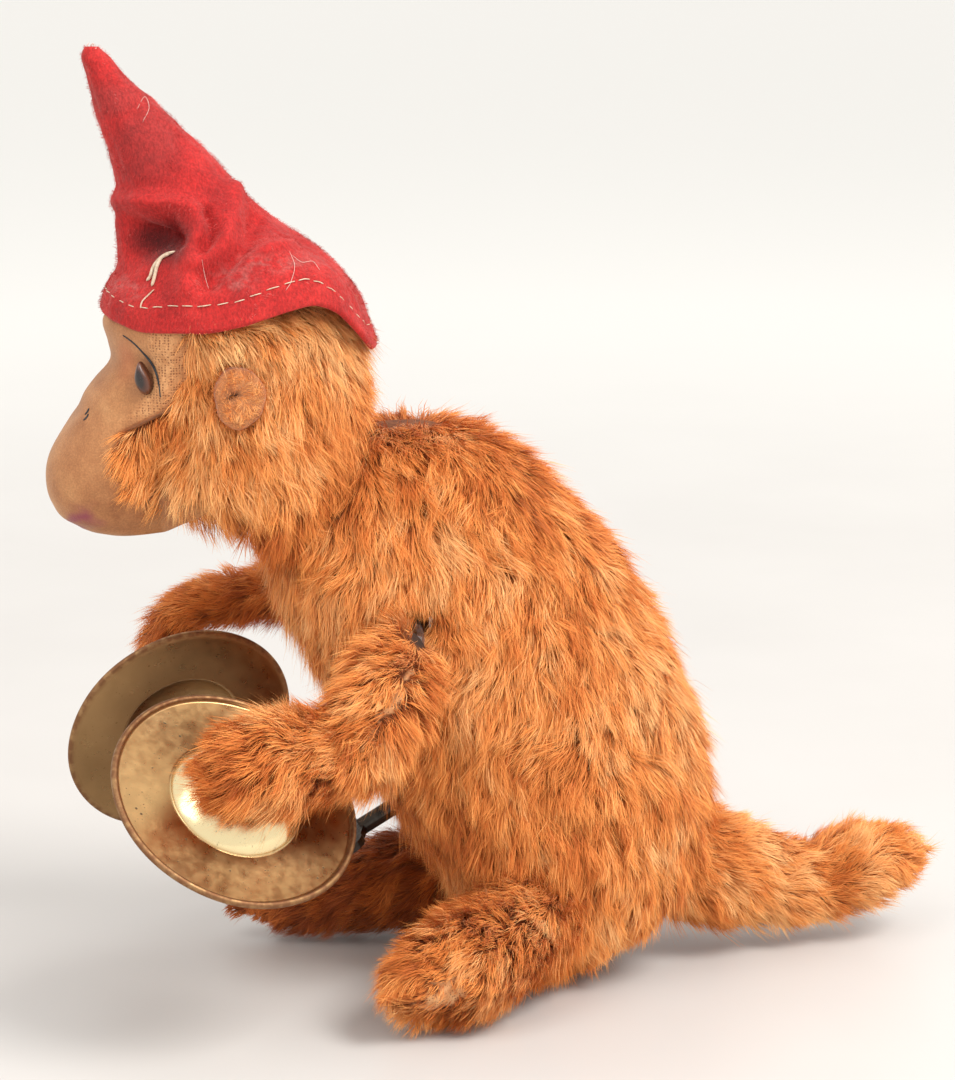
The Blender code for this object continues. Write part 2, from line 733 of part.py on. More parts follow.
def place_in_motor(obj, at):
    obj.parent = MOTOR
    obj.location = v((at[0], at[1], 0))


def wheel(name, at, parts, low, high):
    """An arbor with its wheels and pinions: parts are (outline, low, high)."""
    pieces = [cylinder(name, ARBOR, low, high, sides=16)]
    pieces += [flat("layer", [outline], z0, z1) for outline, z0, z1 in parts]
    made = union(name, pieces)
    keep(made, BRASS)
    place_in_motor(made, at)
    return made


def plate_outline():
    return [(-PLATE_X, PLATE_LOW), (PLATE_X, PLATE_LOW), (PLATE_X, PLATE_HIGH), (-PLATE_X, PLATE_HIGH)]


def make_plates():
    bearings = [circle(ARBOR + 0.35, 16, at) for at in ((0, 0), SECOND_AT, CAM_AT, FLY_AT)]
    for name, middle in (("front_plate", FRONT_PLATE_Z), ("rear_plate", REAR_PLATE_Z)):
        made = flat(name, [plate_outline()] + bearings, middle - PLATE_WALL / 2, middle + PLATE_WALL / 2)
        keep(made, TIN)
        place_in_motor(made, (0, 0))
    low = REAR_PLATE_Z + PLATE_WALL / 2 + 0.3
    high = FRONT_PLATE_Z - PLATE_WALL / 2 - 0.3
    for k, at in enumerate(PILLARS):
        pillar = cylinder(f"pillar_{k + 1}", 1.8, low, high, sides=14)
        keep(pillar, STEEL)
        place_in_motor(pillar, at)


def ribbon(name, route, half_wall, low, high):
    """A strip standing on edge along a flat route."""
    rings = []
    for k, (x, y) in enumerate(route):
        x0, y0 = route[max(k - 1, 0)]
        x1, y1 = route[min(k + 1, len(route) - 1)]
        along = Vector((x1 - x0, y1 - y0, 0)).normalized()
        side = Vector((-along.y, along.x, 0)) * half_wall
        rings.append([(x + side.x, y + side.y, low), (x + side.x, y + side.y, high),
                      (x - side.x, y - side.y, high), (x - side.x, y - side.y, low)])
    return loft(name, rings)


def make_mainspring():
    turns = 5
    steps = 10
    route = []
    for k in range(turns * steps + 1):
        angle = 2 * math.pi * k / steps
        radius = 2.4 + (9.3 - 2.4) * k / (turns * steps)
        route.append((radius * math.cos(angle), radius * math.sin(angle)))
    spring = ribbon("mainspring", route, 0.25, -12.0, -4.8)
    keep(spring, STEEL)
    place_in_motor(spring, (0, 0))


def make_train():
    to_second = facing((0, 0), SECOND_AT)
    to_cam = facing(SECOND_AT, CAM_AT)
    to_fly = facing(CAM_AT, FLY_AT)
    half = math.pi / PINION_TEETH
    back = math.pi
    great = flat("great_wheel", [gear_outline(GREAT_TEETH, to_second), circle(ARBOR + 0.4, 16)], *GREAT_LAYER)
    rivet = cylinder("rivet", 0.7, *RIVET_LAYER, at=CLICK_AT, sides=12)
    great = union("great_wheel", [great, rivet])
    keep(great, BRASS)
    place_in_motor(great, (0, 0))
    wheel("second_wheel", SECOND_AT,
          [(gear_outline(PINION_TEETH, to_second + back + half), *SECOND_PINION_LAYER),
           (gear_outline(SECOND_TEETH, to_cam), *SECOND_WHEEL_LAYER)],
          REAR_PLATE_Z - REAR_END, FRONT_PLATE_Z + FRONT_END)
    wheel("cam_arbor", CAM_AT,
          [(gear_outline(PINION_TEETH, to_cam + back + half), *CAM_PINION_LAYER),
           (gear_outline(CAM_TEETH, to_fly), *CAM_WHEEL_LAYER)],
          REAR_PLATE_Z - REAR_END, FRONT_PLATE_Z + CAM_END)
    wheel("fly", FLY_AT,
          [(gear_outline(PINION_TEETH, to_fly + back + half), *FLY_PINION_LAYER), (FLY_VANE, *FLY_VANE_LAYER)],
          REAR_PLATE_Z - REAR_END, FRONT_PLATE_Z + FRONT_END)


def make_cam():
    outline = []
    for k in range(CAM_POINTS):
        angle = 2 * math.pi * k / CAM_POINTS
        radius = CAM_LOW + CAM_RISE * math.cos(angle) ** 2
        outline.append((radius * math.cos(angle), radius * math.sin(angle)))
    cam = flat("cam", [outline, circle(ARBOR + 0.3, 16)], FRONT_PLATE_Z + 0.8, FRONT_PLATE_Z + 1.5)
    keep(cam, STEEL)
    place_in_motor(cam, CAM_AT)


def make_winding():
    ratchet = []
    for k in range(RATCHET_TEETH):
        base = 2 * math.pi * k / RATCHET_TEETH
        ratchet.append((RATCHET_ROOT * math.cos(base), RATCHET_ROOT * math.sin(base)))
        top = base + 2 * math.pi / RATCHET_TEETH * 0.97
        ratchet.append((RATCHET_TIP * math.cos(top), RATCHET_TIP * math.sin(top)))
    wheel("winding_arbor", (0, 0), [(ratchet, *RATCHET_LAYER)], REAR_PLATE_Z - REAR_END, KEY_START - 0.3)
    click = flat("click", [CLICK_OUTLINE, circle(1.05, 12)], *CLICK_LAYER)
    keep(click, STEEL)
    place_in_motor(click, CLICK_AT)
    click.rotation_euler.z = CLICK_LIFT


def make_key():
    """A tube stem with a flat bow, out through the belly."""
    stem = cylinder("key", 1.8, KEY_START, KEY_END, sides=16)
    bow = flat("bow", [bow_outline()], -0.8, 0.8)
    bow.data.transform(Matrix.Rotation(math.radians(90), 4, "X"))
    bow.data.transform(Matrix.Translation(v((0, 0, KEY_END - 0.8))))
    key = union("key", [stem, bow])
    keep(key, STEEL)
    place_in_motor(key, (0, 0))


def bow_outline():
    """Two round wings either side of the stem."""
    made = [(-2.2, 0), (2.2, 0)]
    for k in range(9):
        angle = math.radians(-100 + 22.5 * k)
        made.append((5.6 + 3.4 * math.cos(angle), 4.6 + 3.4 * math.sin(angle)))
    for k in range(9):
        angle = math.radians(100 + 22.5 * k)
        made.append((-5.6 + 3.4 * math.cos(angle), 4.6 + 3.4 * math.sin(angle)))
    return made


def make_arm_spring():
    """A tension coil between the two arm horns, which closes the arms."""
    middle = motor_point(0, 27.0, 11.9)
    up = Vector((0, -0.5, math.cos(math.radians(30))))
    fore = Vector((0, -math.cos(math.radians(30)), -0.5))
    route = []
    steps = SPRING_TURNS * 8
    for k in range(steps + 1):
        angle = 2 * math.pi * k / 8
        across = Vector(((PIVOT[0] - 1.6) * (2 * k / steps - 1), 0, 0))
        route.append((middle + across + (up * math.cos(angle) + fore * math.sin(angle)) * 1.5, 0.3))
    keep(tube("arm_spring", route, steps=1, resolution=0), STEEL)


def make_bracket():
    """A bent plate on the motor's top edges whose slanted top carries both arm pins."""
    rise = Vector((0.866, 0.5))                     # the swing axis, as (up, forward)
    along = Vector((0.5, -0.866))                   # down the slanted top
    pivot = MOTOR.matrix_world.inverted() @ v(PIVOT) / MM
    middle = Vector((pivot.y, pivot.z)) - rise * 3.9
    front = middle - along * 8.4
    rear = middle + along * 8.4
    foot = PLATE_HIGH + 0.35
    wall = 1.0
    outer = [(foot, front.y), (front.x, front.y), (rear.x, rear.y), (foot, rear.y)]
    inner = [(foot, rear.y + wall), (rear.x - wall * 1.9, rear.y + wall),
             (front.x - wall * 0.7, front.y - wall), (foot, front.y - wall)]
    outline = [(-z, y) for y, z in outer + inner]
    bracket = flat("shoulder_bracket", [outline], -19, 19)
    bracket.data.transform(Matrix.Rotation(math.radians(90), 4, "Y"))
    cutters = []
    for sign in (1, -1):
        hole = cylinder("pin_hole", 1.5, -6, 6, sides=16)
        centre = Vector((sign * PIVOT[0], PIVOT[1], PIVOT[2])) * MM
        hole.matrix_world = Matrix.Translation(centre) @ aim(SWING_AXIS)
        hole.data.transform(Matrix.Translation(v((0, 0, -4))))
        cutters.append(hide(hole))
    bracket.matrix_world = MOTOR.matrix_world
    bracket = cut(bracket, cutters)
    keep(bracket, TIN)


# ---------------------------------------------------------------- the toy

MOTOR = bpy.data.objects.new("motor_frame", None)
TOY.objects.link(MOTOR)
MOTOR.location = v(MOTOR_PLACE)
MOTOR.rotation_euler = (MOTOR_TILT, 0, 0)
bpy.context.view_layer.update()

BODY_SPACE = hide(body_solid("body_space", -0.35))
FLOOR_SPACE = hide(box("floor_space", (300, 300, 20), (0, 0, -9.8)))
make_head()
make_body(hide(head_solid("head_space", -0.5)))
make_cap()
make_limbs()
make_arm("left", 1, LEFT_ROUTE, LEFT_SLEEVE, LEFT_FOREARM, LEFT_CYMBAL)
make_arm("right", -1, RIGHT_ROUTE, RIGHT_SLEEVE, RIGHT_FOREARM, RIGHT_CYMBAL)
make_cymbal("left", *LEFT_CYMBAL)
make_cymbal("right", *RIGHT_CYMBAL)
make_plates()
make_mainspring()
make_train()
make_cam()
make_winding()
make_key()
make_bracket()
make_arm_spring()
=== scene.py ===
"""Looks for a clockwork cymbal monkey: mohair fur, cloth face, felt cap, glass eyes and brassed tin cymbals.

Lengths in the tables below are millimetres in the toy's own frame: it faces -Y, its left side is +X,
and Z is up from the flat seat.
"""
import math

import bpy
import numpy as np
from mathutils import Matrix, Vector, kdtree


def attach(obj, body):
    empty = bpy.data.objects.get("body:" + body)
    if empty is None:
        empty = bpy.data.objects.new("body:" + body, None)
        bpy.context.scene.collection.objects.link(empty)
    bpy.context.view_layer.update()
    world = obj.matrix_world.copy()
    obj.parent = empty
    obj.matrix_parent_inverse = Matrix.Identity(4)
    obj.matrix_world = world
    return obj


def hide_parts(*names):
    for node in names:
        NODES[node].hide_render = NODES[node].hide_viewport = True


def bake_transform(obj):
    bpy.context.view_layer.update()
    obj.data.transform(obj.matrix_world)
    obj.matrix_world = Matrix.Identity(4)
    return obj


MM = 0.001
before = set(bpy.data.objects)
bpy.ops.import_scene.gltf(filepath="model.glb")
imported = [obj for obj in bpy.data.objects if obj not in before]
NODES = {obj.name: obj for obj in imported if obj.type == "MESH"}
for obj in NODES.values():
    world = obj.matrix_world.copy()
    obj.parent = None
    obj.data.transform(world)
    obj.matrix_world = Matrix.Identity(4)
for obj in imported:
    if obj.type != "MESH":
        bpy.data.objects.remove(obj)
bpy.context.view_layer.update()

# body: height, front, back and half width
BODY = np.array([
    (0, -12, 10, 15), (3.5, -16, 16, 20.5), (10, -18, 23, 24.5), (20, -22, 32, 27.3), (32, -30, 35.7, 28.7),
    (45, -38, 35, 29.2), (58, -43.8, 31.8, 28.8), (70, -50.5, 27, 28), (82, -56.3, 20.5, 26.8),
    (94, -58.5, 12.5, 24.4), (104, -56, 3.5, 21.3), (112, -49, -5, 17.5), (117, -43, -13, 13),
    (119.5, -36, -22, 6)], float)
BODY_PLUMPNESS = 2.35
SHOULDER_SLITS = [(27.5, -30.5, 80.0), (-27.0, -31.0, 81.0)]

# head: polar about an upright axis
HEAD_Y, HEAD_Z, HEAD_DEPTH, HEAD_WIDTH, HEAD_RISE = -61.0, 120.0, 25.0, 25.0, 31.0
FACE_PROFILE = np.array([(97, -89.5), (98, -94.5), (100, -98.2), (103.5, -100.8), (108, -101.8), (113, -101),
                         (117.6, -98.4), (121.9, -95), (125.3, -93.4), (127.8, -91.4), (131.3, -88.3),
                         (135.3, -88.4), (139.9, -89.4), (146, -84)], float)
MUZZLE_RADIUS = np.array([(97, 8), (100, 11.3), (104, 13.2), (108, 14), (120, 14.3), (131, 19), (141, 22),
                          (146, 15)], float)
MASK_EDGE = np.array([(97, 57), (101, 48), (105, 34), (109, 26), (113, 23.5), (117, 23), (119.5, 25),
                      (122, 34), (124, 42), (126, 45), (132, 50), (141, 53), (146, 53)], float)
EYE = (16.0, -83.4, 130.3)
EYE_SIZE = (1.8, 1.8, 3.3)
EYE_TURN = 35.0
BROW = [(-86.6, 138.1), (-84.9, 137.2), (-83.3, 135.5), (-81.8, 133.3), (-80.9, 131.3), (-80.4, 129.2),
        (-80.3, 126.8)]               # Y and Z along the left brow line
EAR = (25.1, -65.8, 127.1)
EAR_SIZE = (4.9, 6.0)
EAR_PUCKER = (1.4, 0.6)               # how far the pucker lies ahead of the middle, and above it

# cap: centre Y, centre Z, half depth, half width, slope of the ring
CAP = np.array([
    (-62.5, 137.5, 27.5, 26.5, -0.164), (-64.2, 144.5, 24.9, 24.7, 0), (-64.6, 150, 21, 21.4, 0),
    (-66.7, 154.2, 18.4, 18.8, 0), (-71.0, 159.2, 15, 15.6, 0), (-73.4, 164, 12.4, 13, 0),
    (-77.5, 171.5, 9.9, 10.4, 0), (-83.6, 181, 6.5, 6.8, 0), (-88.8, 189.3, 3.2, 3.3, 0),
    (-89.9, 191.4, 2.4, 2.4, 0), (-90.3, 192.9, 1.2, 1.2, 0)], float)
CAP_WALL = 1.1
BRIM = [(-93, 142.6), (-89.4, 141.7), (-85, 140.4), (-79.5, 139.8), (-74, 140.1), (-68, 141.4),
        (-61.5, 142.9), (-55.7, 144.1), (-49.6, 144.6), (-43, 141), (-37, 134.3)]
CAP_FOLDS = [                         # Y and Z along each fold of the left side, its reach and its height
    ([(-86, 163.2), (-80.8, 164.0), (-75.7, 163.2), (-73.2, 162.2), (-72.1, 160.2), (-72.2, 157.9),
      (-73.4, 155.8), (-74.7, 152.4), (-75, 147)], 1.9, 2.3),
    ([(-86, 158.6), (-81.5, 159.0), (-77.5, 160.2)], 2.1, -4.8),
    ([(-85.5, 155.0), (-81, 156.3), (-77, 157.8)], 2.4, -5.2),
    ([(-70.0, 161.5), (-69.6, 158), (-71.2, 154.8)], 1.4, -2.4),
    ([(-63.5, 166), (-65.8, 160), (-68.4, 154.8), (-72.5, 152.2)], 2.0, 2.0),
    ([(-60.0, 160), (-62.5, 155.4), (-67.4, 150.9), (-70.8, 148.2)], 2.0, -2.3),
    ([(-54, 154.6), (-61.4, 152.6), (-67.0, 148.2)], 1.7, 1.3),
    ([(-73.5, 176), (-77, 168), (-79, 165.6)], 2.2, -1.3),
]
KNOT_THREADS = [                      # Y and Z on the cap's left side
    [(-76.5, 154.4), (-78.2, 153.6), (-79.6, 152.5), (-80.4, 151.0), (-81.2, 149.5), (-82.0, 148.7)],
    [(-77.1, 154.0), (-78.6, 153.1), (-79.6, 151.8), (-80.2, 150.0), (-80.6, 148.9), (-81.2, 147.6)],
]
HANGING_THREAD = [(-81.0, 147.4), (-81.9, 146.3), (-82.9, 145.1), (-83.6, 144.0)]
LOOSE_HAIRS = [
    [(-55.0, 154.4), (-54.8, 151.6), (-55.4, 149.4), (-56.6, 147.6)],
    [(-54.8, 153.6), (-52.8, 152.4), (-50.8, 152.2), (-49.6, 150.6)],
    [(-72.0, 153.4), (-71.4, 150.4), (-71.2, 147.8)],
    [(-82.6, 181.0), (-80.9, 183.2), (-80.2, 181.2), (-81.6, 178.8)],
]

# limbs: X, Y, Z and radius along each
LEFT_LEG = [(14, -2, 17, 11), (22, -9.5, 15.5, 11.8), (30, -19, 13.2, 11.8), (35.6, -27, 12.2, 11.4),
            (38.4, -32, 11.8, 9.2)]
RIGHT_LEG = [(-14, -6, 18, 10), (-19, -20, 14, 11.6), (-22, -37, 11, 10.4), (-24, -51, 8.8, 8.4),
             (-25, -60, 7.5, 4.6)]
TAIL = [(0, 24, 22, 12), (0, 38, 18, 13.6), (0, 51, 14, 10.8), (0, 58, 12.9, 9.8), (0, 66, 14.3, 10.2),
        (0, 74, 16.3, 10), (0, 77, 16.9, 8.5)]
LEFT_SLEEVE = [(29, -36, 75.6, 8.2), (32.2, -38, 72, 9.8), (35, -41, 66.8, 10.6), (36.4, -45, 61.8, 10.2)]
RIGHT_SLEEVE = [(-27, -33.5, 79.3, 6.4), (-30.5, -41, 78.2, 7.4), (-34, -52, 75.6, 7.6)]
LEFT_FOREARM = [(36.8, -47, 60, 9.4), (37.8, -52, 59.4, 9.4), (39.4, -58, 59.6, 9.6), (41.2, -64, 60, 9.8),
                (42, -67, 59.8, 8.6)]
RIGHT_FOREARM = [(-35, -55.5, 74.8, 7.6), (-37, -61, 73.6, 8), (-40.5, -69, 71, 7.8), (-43.6, -74, 65, 7.4),
                 (-45, -76.4, 58.6, 7), (-45.4, -77.4, 53, 5.4)]

ARM_SEAM = [(37.5, -33, 76.5), (40, -36.1, 74), (42.3, -38.9, 70.1), (43.2, -41.1, 67.4), (43.8, -44.2, 63.6),
            (44, -45.7, 61.8)]
FOOT_PATCH = (44.5, -29.4, 9.2)

# cymbals
CYMBAL_RADIUS, DOME_RADIUS, DOME_HEIGHT = 25.4, 13.3, 6.0
OUTSIDE_STEPS = (26, 26, 12)          # points along the outside of the dome, the bow and the rolled rim
LEFT_CYMBAL = ((32.4, -69.2, 49.2), (0.57, 0.30, 0.77))
RIGHT_CYMBAL = ((-31.0, -73.0, 46.0), (-0.90, -0.25, 0.36))

SKIN_INSET = 2.8                      # fur roots lie this far under the cover's outside
FUR_DENSITY = 11.0  # strands on a square millimetre
STRANDS_IN_PIECE = 62000              # fur is kept in pieces of a size that other tools can open
TONES = 32                            # columns of tone in the fur's colour map


# ---------------------------------------------------------------- numbers

def curve(knots, values, at):
    """A smooth line through the values, read at the places given."""
    knots = np.asarray(knots, float)
    values = np.asarray(values, float)
    at = np.clip(np.asarray(at, float), knots[0], knots[-1])
    slope = np.gradient(values, knots, axis=0)
    i = np.clip(np.searchsorted(knots, at, side="right") - 1, 0, len(knots) - 2)
    step = knots[i + 1] - knots[i]
    t = (at - knots[i]) / step
    if values.ndim > 1:
        step = step[:, None]
        t = t[:, None]
    near = values[i] * (2 * t**3 - 3 * t**2 + 1) + values[i + 1] * (3 * t**2 - 2 * t**3)
    return near + slope[i] * step * (t**3 - 2 * t**2 + t) + slope[i + 1] * step * (t**3 - t**2)


def unit(vectors):
    return vectors / np.maximum(np.linalg.norm(vectors, axis=-1, keepdims=True), 1e-9)


def waves(points, size, seed, count=12):
    """Smooth random bumps over space, about one in height."""
    rng = np.random.default_rng(seed)
    total = np.zeros(points.shape[:-1])
    for _ in range(count):
        way = unit(rng.normal(size=3))
        pitch = 2 * math.pi / size * rng.uniform(0.55, 1.5)
        total += np.sin(points @ way * pitch + rng.uniform(0, 2 * math.pi))
    return total / math.sqrt(count / 2)


def near_spot(points, centre, reach):
    """1 at the centre, falling smoothly to 0 beyond the reach."""
    away = (points - np.array(centre, float)) / np.array(reach, float)
    return np.exp(-(away**2).sum(-1))


def smoothstep(low, high, value):
    t = np.clip((value - low) / (high - low), 0, 1)
    return t * t * (3 - 2 * t)


def run_along(points):
    """The distance to each point of a line from its first point."""
    return np.concatenate([[0], np.cumsum(np.linalg.norm(np.diff(points, axis=0), axis=1))])


def smooth_line(line, count):
    """The number of points asked for, along a smooth line through those given."""
    line = np.array(line, float)
    return curve(np.arange(len(line)), line, np.linspace(0, len(line) - 1, count))


def gap_to(points, line):
    """The distance from each point to the nearest one of a line."""
    return np.linalg.norm(points[..., None, :] - line, axis=-1).min(-1)


def full_turn(count):
    """Even steps round a circle, in radians."""
    return np.linspace(0, 2 * math.pi, count, endpoint=False)


# ---------------------------------------------------------------- meshes

def new_object(name, mesh):
    obj = bpy.data.objects.new(name, mesh)
    bpy.context.scene.collection.objects.link(obj)
    return obj


def fast_mesh(name, points, loops, sizes):
    """A smooth mesh: points in millimetres, the corners of its faces in turn, and the size of each face."""
    mesh = bpy.data.meshes.new(name)
    mesh.vertices.add(len(points))
    mesh.vertices.foreach_set("co", (np.asarray(points) * MM).astype(np.float32).ravel())
    mesh.loops.add(len(loops))
    mesh.loops.foreach_set("vertex_index", np.asarray(loops, np.int32))
    mesh.polygons.add(len(sizes))
    starts = np.concatenate([[0], np.cumsum(sizes)[:-1]]).astype(np.int32)
    mesh.polygons.foreach_set("loop_start", starts)
    mesh.polygons.foreach_set("use_smooth", np.ones(len(sizes), bool))
    mesh.update(calc_edges=True)
    return mesh


def grid_mesh(name, grid, low_cap=False, high_cap=False, around=True, values=None):
    """A mesh over a grid of points whose rows run around it. A cap is a fan to the row's middle."""
    rows, cols = grid.shape[:2]
    points = [grid.reshape(-1, 3)]
    spans = cols if around else cols - 1
    r, c = np.meshgrid(np.arange(rows - 1), np.arange(spans), indexing="ij")
    after = (c + 1) % cols
    quads = np.stack([r * cols + c, r * cols + after, (r + 1) * cols + after, (r + 1) * cols + c], -1)
    loops = [quads.reshape(-1)]
    sizes = [np.full(quads.shape[0] * quads.shape[1], 4)]
    count = rows * cols
    c = np.arange(cols)
    if low_cap:
        points.append(grid[0].mean(0)[None])
        loops.append(np.stack([c, np.full(cols, count), (c + 1) % cols], -1).reshape(-1))
        sizes.append(np.full(cols, 3))
        count += 1
    if high_cap:
        base = (rows - 1) * cols
        points.append(grid[-1].mean(0)[None])
        loops.append(np.stack([base + c, base + (c + 1) % cols, np.full(cols, count)], -1).reshape(-1))
        sizes.append(np.full(cols, 3))
    mesh = fast_mesh(name, np.concatenate(points), np.concatenate(loops), np.concatenate(sizes))
    for key, table in (values or {}).items():
        flat = table.reshape(-1)
        extra = len(mesh.vertices) - len(flat)
        paint(mesh, key, np.concatenate([flat, np.full(extra, flat[-1])]))
    return mesh


def paint(mesh, key, values):
    """Stores one value a point, which a material reads by name."""
    attribute = mesh.attributes.new(key, "FLOAT", "POINT")
    attribute.data.foreach_set("value", np.asarray(values, np.float32))


def grid_normals(grid, around=True):
    """Outward normals of a grid whose rows run around and climb."""
    if around:
        across = np.roll(grid, -1, axis=1) - np.roll(grid, 1, axis=1)
    else:
        across = np.gradient(grid, axis=1)
    up = np.gradient(grid, axis=0)
    return unit(np.cross(across, up))


# ---------------------------------------------------------------- forms

def body_grid(inset, rows=96, cols=144):
    """The stuffed body: broad squarish levels from the flat seat to the rounded back of the neck."""
    share = np.linspace(0, 1, rows)
    z = BODY[-1, 0] * share
    front = curve(BODY[:, 0], BODY[:, 1], z)
    back = curve(BODY[:, 0], BODY[:, 2], z)
    wide = curve(BODY[:, 0], BODY[:, 3], z)
    turn = full_turn(cols)
    side = np.sign(np.cos(turn)) * np.abs(np.cos(turn)) ** (2 / BODY_PLUMPNESS)
    depth = np.sign(np.sin(turn)) * np.abs(np.sin(turn)) ** (2 / BODY_PLUMPNESS)
    grid = np.empty((rows, cols, 3))
    grid[..., 0] = wide[:, None] * side
    grid[..., 1] = ((front + back) / 2)[:, None] + ((back - front) / 2)[:, None] * depth
    grid[..., 2] = z[:, None]
    grid -= grid_normals(grid) * inset
    grid[..., 2] = np.maximum(grid[..., 2], 0.8)
    for spot in SHOULDER_SLITS:
        dent = near_spot(grid, spot, (9, 3.4, 2.6))
        grid[..., 0] -= np.sign(grid[..., 0]) * dent * 6
    return grid


def head_radius(z, turn):
    """Distance from the head's upright axis to its surface; turn is 0 at the nose."""
    rise = np.minimum(np.abs(z - HEAD_Z) / HEAD_RISE, 0.985)
    shrink = (1 - rise**2.6) ** (1 / 2.6)
    skull = shrink / np.hypot(np.cos(turn) / HEAD_DEPTH, np.sin(turn) / HEAD_WIDTH)
    reach = HEAD_Y - curve(FACE_PROFILE[:, 0], FACE_PROFILE[:, 1], z)
    radius = curve(MUZZLE_RADIUS[:, 0], MUZZLE_RADIUS[:, 1], z)
    offset = reach - radius
    inside = np.maximum(radius**2 - (offset * np.sin(turn)) ** 2, 0)
    muzzle = np.where(np.cos(turn) > 0, offset * np.cos(turn) + np.sqrt(inside), 0)
    muzzle = np.where(inside > 0, np.maximum(muzzle, 0), 0)
    return (skull**10 + muzzle**10) ** 0.1


def head_point(z, turn, inset=0.0):
    """A point of the head for arrays of heights and turns."""
    r = head_radius(z, turn) - inset
    return np.stack([r * np.sin(turn), HEAD_Y - r * np.cos(turn), z + 0 * r], -1)


def mask_edge(z):
    """The turn from the nose at which the face cloth ends and the fur begins."""
    return np.radians(curve(MASK_EDGE[:, 0], MASK_EDGE[:, 1], z))


def shape_face(points):
    """Eye hollows, brow, cheeks and lips pressed into the face cloth."""
    for side in (1, -1):
        eye = np.array([EYE[0] * side, EYE[1], EYE[2]])
        out = unit(np.array([0.80 * side, -0.60, 0.05]))
        hollow = near_spot(points, eye + (-0.5 * side, -1.2, -0.3), (5, 4.4, 4.6))
        points = points - out * (1.5 * hollow)[..., None]
        brow = near_spot(points, eye + (1.0 * side, 2.5, 5.6), (9, 6, 2.2))
        points = points + out * (0.7 * brow)[..., None]
        lid = near_spot(points, eye + (0.8 * side, 3.4, -0.5), (7, 1.6, 4.5))
        points = points + out * (0.55 * lid)[..., None]
        cheek = near_spot(points, (14 * side, -90, 121), (9, 6, 5))
        points = points + out * (0.7 * cheek)[..., None]
        wing = near_spot(points, (6.5 * side, -97.0, 121.0), (4.5, 4, 2.2))
        points = points + np.array([0.4 * side, -0.55, 0.1]) * wing[..., None]
    bridge = near_spot(points, (0, -90, 132), (8, 5, 3.2))
    points = points + np.array([0, 0.6, 0]) * bridge[..., None]
    lip = np.exp(-((points[..., 2] - 98.9 - 0.004 * points[..., 0] ** 2) / 0.8) ** 2)
    lip = lip * smoothstep(-91, -95, points[..., 1])
    return points + np.array([0, 0.55, 0.1]) * lip[..., None]


def jaw_lift(z, turn):
    """How far the lower edge of the face climbs from the chin round to the cheek."""
    return 5.2 * smoothstep(0.25, 1.1, np.abs(turn)) * smoothstep(113, 97, z)


def face_grid(rows=116, cols=150):
    """The face cloth, closed under the chin and tucked under the fur at its edge."""
    z = np.linspace(97.6, 147, rows)
    share = np.linspace(-1, 1, cols)
    turn = (mask_edge(z) + math.radians(6))[:, None] * share[None, :]
    grid = head_point(z[:, None] + 0 * turn, turn)
    grid[..., 2] += jaw_lift(grid[..., 2], turn)
    grid = shape_face(grid)
    grid -= grid_normals(grid, False) * (2.3 * smoothstep(0.84, 0.99, np.abs(share)))[None, :, None]
    chin = []
    under = np.array([0.0, -76.0, 99.6])
    for k in range(9):
        t = (k + 1) / 9
        row = grid[0] * math.cos(t * math.pi / 2) + under * (1 - math.cos(t * math.pi / 2))
        row[:, 2] += 0.7 * t * (1 - t) - 0.35 * math.sin(t * math.pi)
        chin.append(row)
    return np.concatenate([np.array(chin[::-1]), grid])


def head_grid(inset, rows=84, cols=120):
    """The fur hood's skin, right round the head, closed under the jaw and kept inside the face cloth."""
    z = np.linspace(94.8, 149.5, rows)
    turn = full_turn(cols)
    zz = np.broadcast_to(z[:, None], (rows, cols))
    tt = np.broadcast_to(turn[None, :], (rows, cols))
    from_nose = np.minimum(tt, 2 * math.pi - tt)
    near_face = from_nose < mask_edge(zz) + 0.03
    grid = head_point(zz, tt, inset + np.where(near_face, 0.7, 0.0))
    grid[..., 2] += (5.0 * smoothstep(1.75, 1.2, from_nose) + 1.2) * smoothstep(112, 95, zz)
    return grid


def tube_grid(route, inset, step=0.8, cols=40):
    """A stuffed limb: rings along a smooth route, drawn in to a rounded end."""
    route = np.array(route, float)
    run = run_along(route[:, :3])
    first, last = route[0, 3] * 0.75, route[-1, 3] * 0.9
    at = np.arange(-first, run[-1] + last + 0.001, step)
    inside = np.clip(at, 0, run[-1])
    centre = curve(run, route[:, :3], inside)
    radius = curve(run, route[:, 3], inside)
    fine = np.linspace(0, run[-1], 200)
    way = unit(np.gradient(curve(run, route[:, :3], fine), axis=0))
    way = unit(np.stack([np.interp(inside, fine, way[:, k]) for k in range(3)], -1))
    centre = centre + way * (at - inside)[:, None]
    over = np.where(at < 0, -at / first, np.where(at > run[-1], (at - run[-1]) / last, 0))
    radius = radius * np.sqrt(np.maximum(1 - np.clip(over, 0, 1) ** 2.4, 0.0)) - inset
    radius = np.maximum(radius, 0.05)
    up = np.array([0.0, 0.0, 1.0])
    if abs(way[:, 2]).max() > 0.9:
        up = np.array([0.0, 1.0, 0.0]) if abs(way[:, 1]).max() < 0.9 else np.array([1.0, 0.0, 0.0])
    side = unit(np.cross(way, up))
    top = np.cross(side, way)
    turn = full_turn(cols)
    ring = side[:, None] * np.cos(turn)[None, :, None] - top[:, None] * np.sin(turn)[None, :, None]
    return centre[:, None] + ring * radius[:, None, None]


# ---------------------------------------------------------------- fur

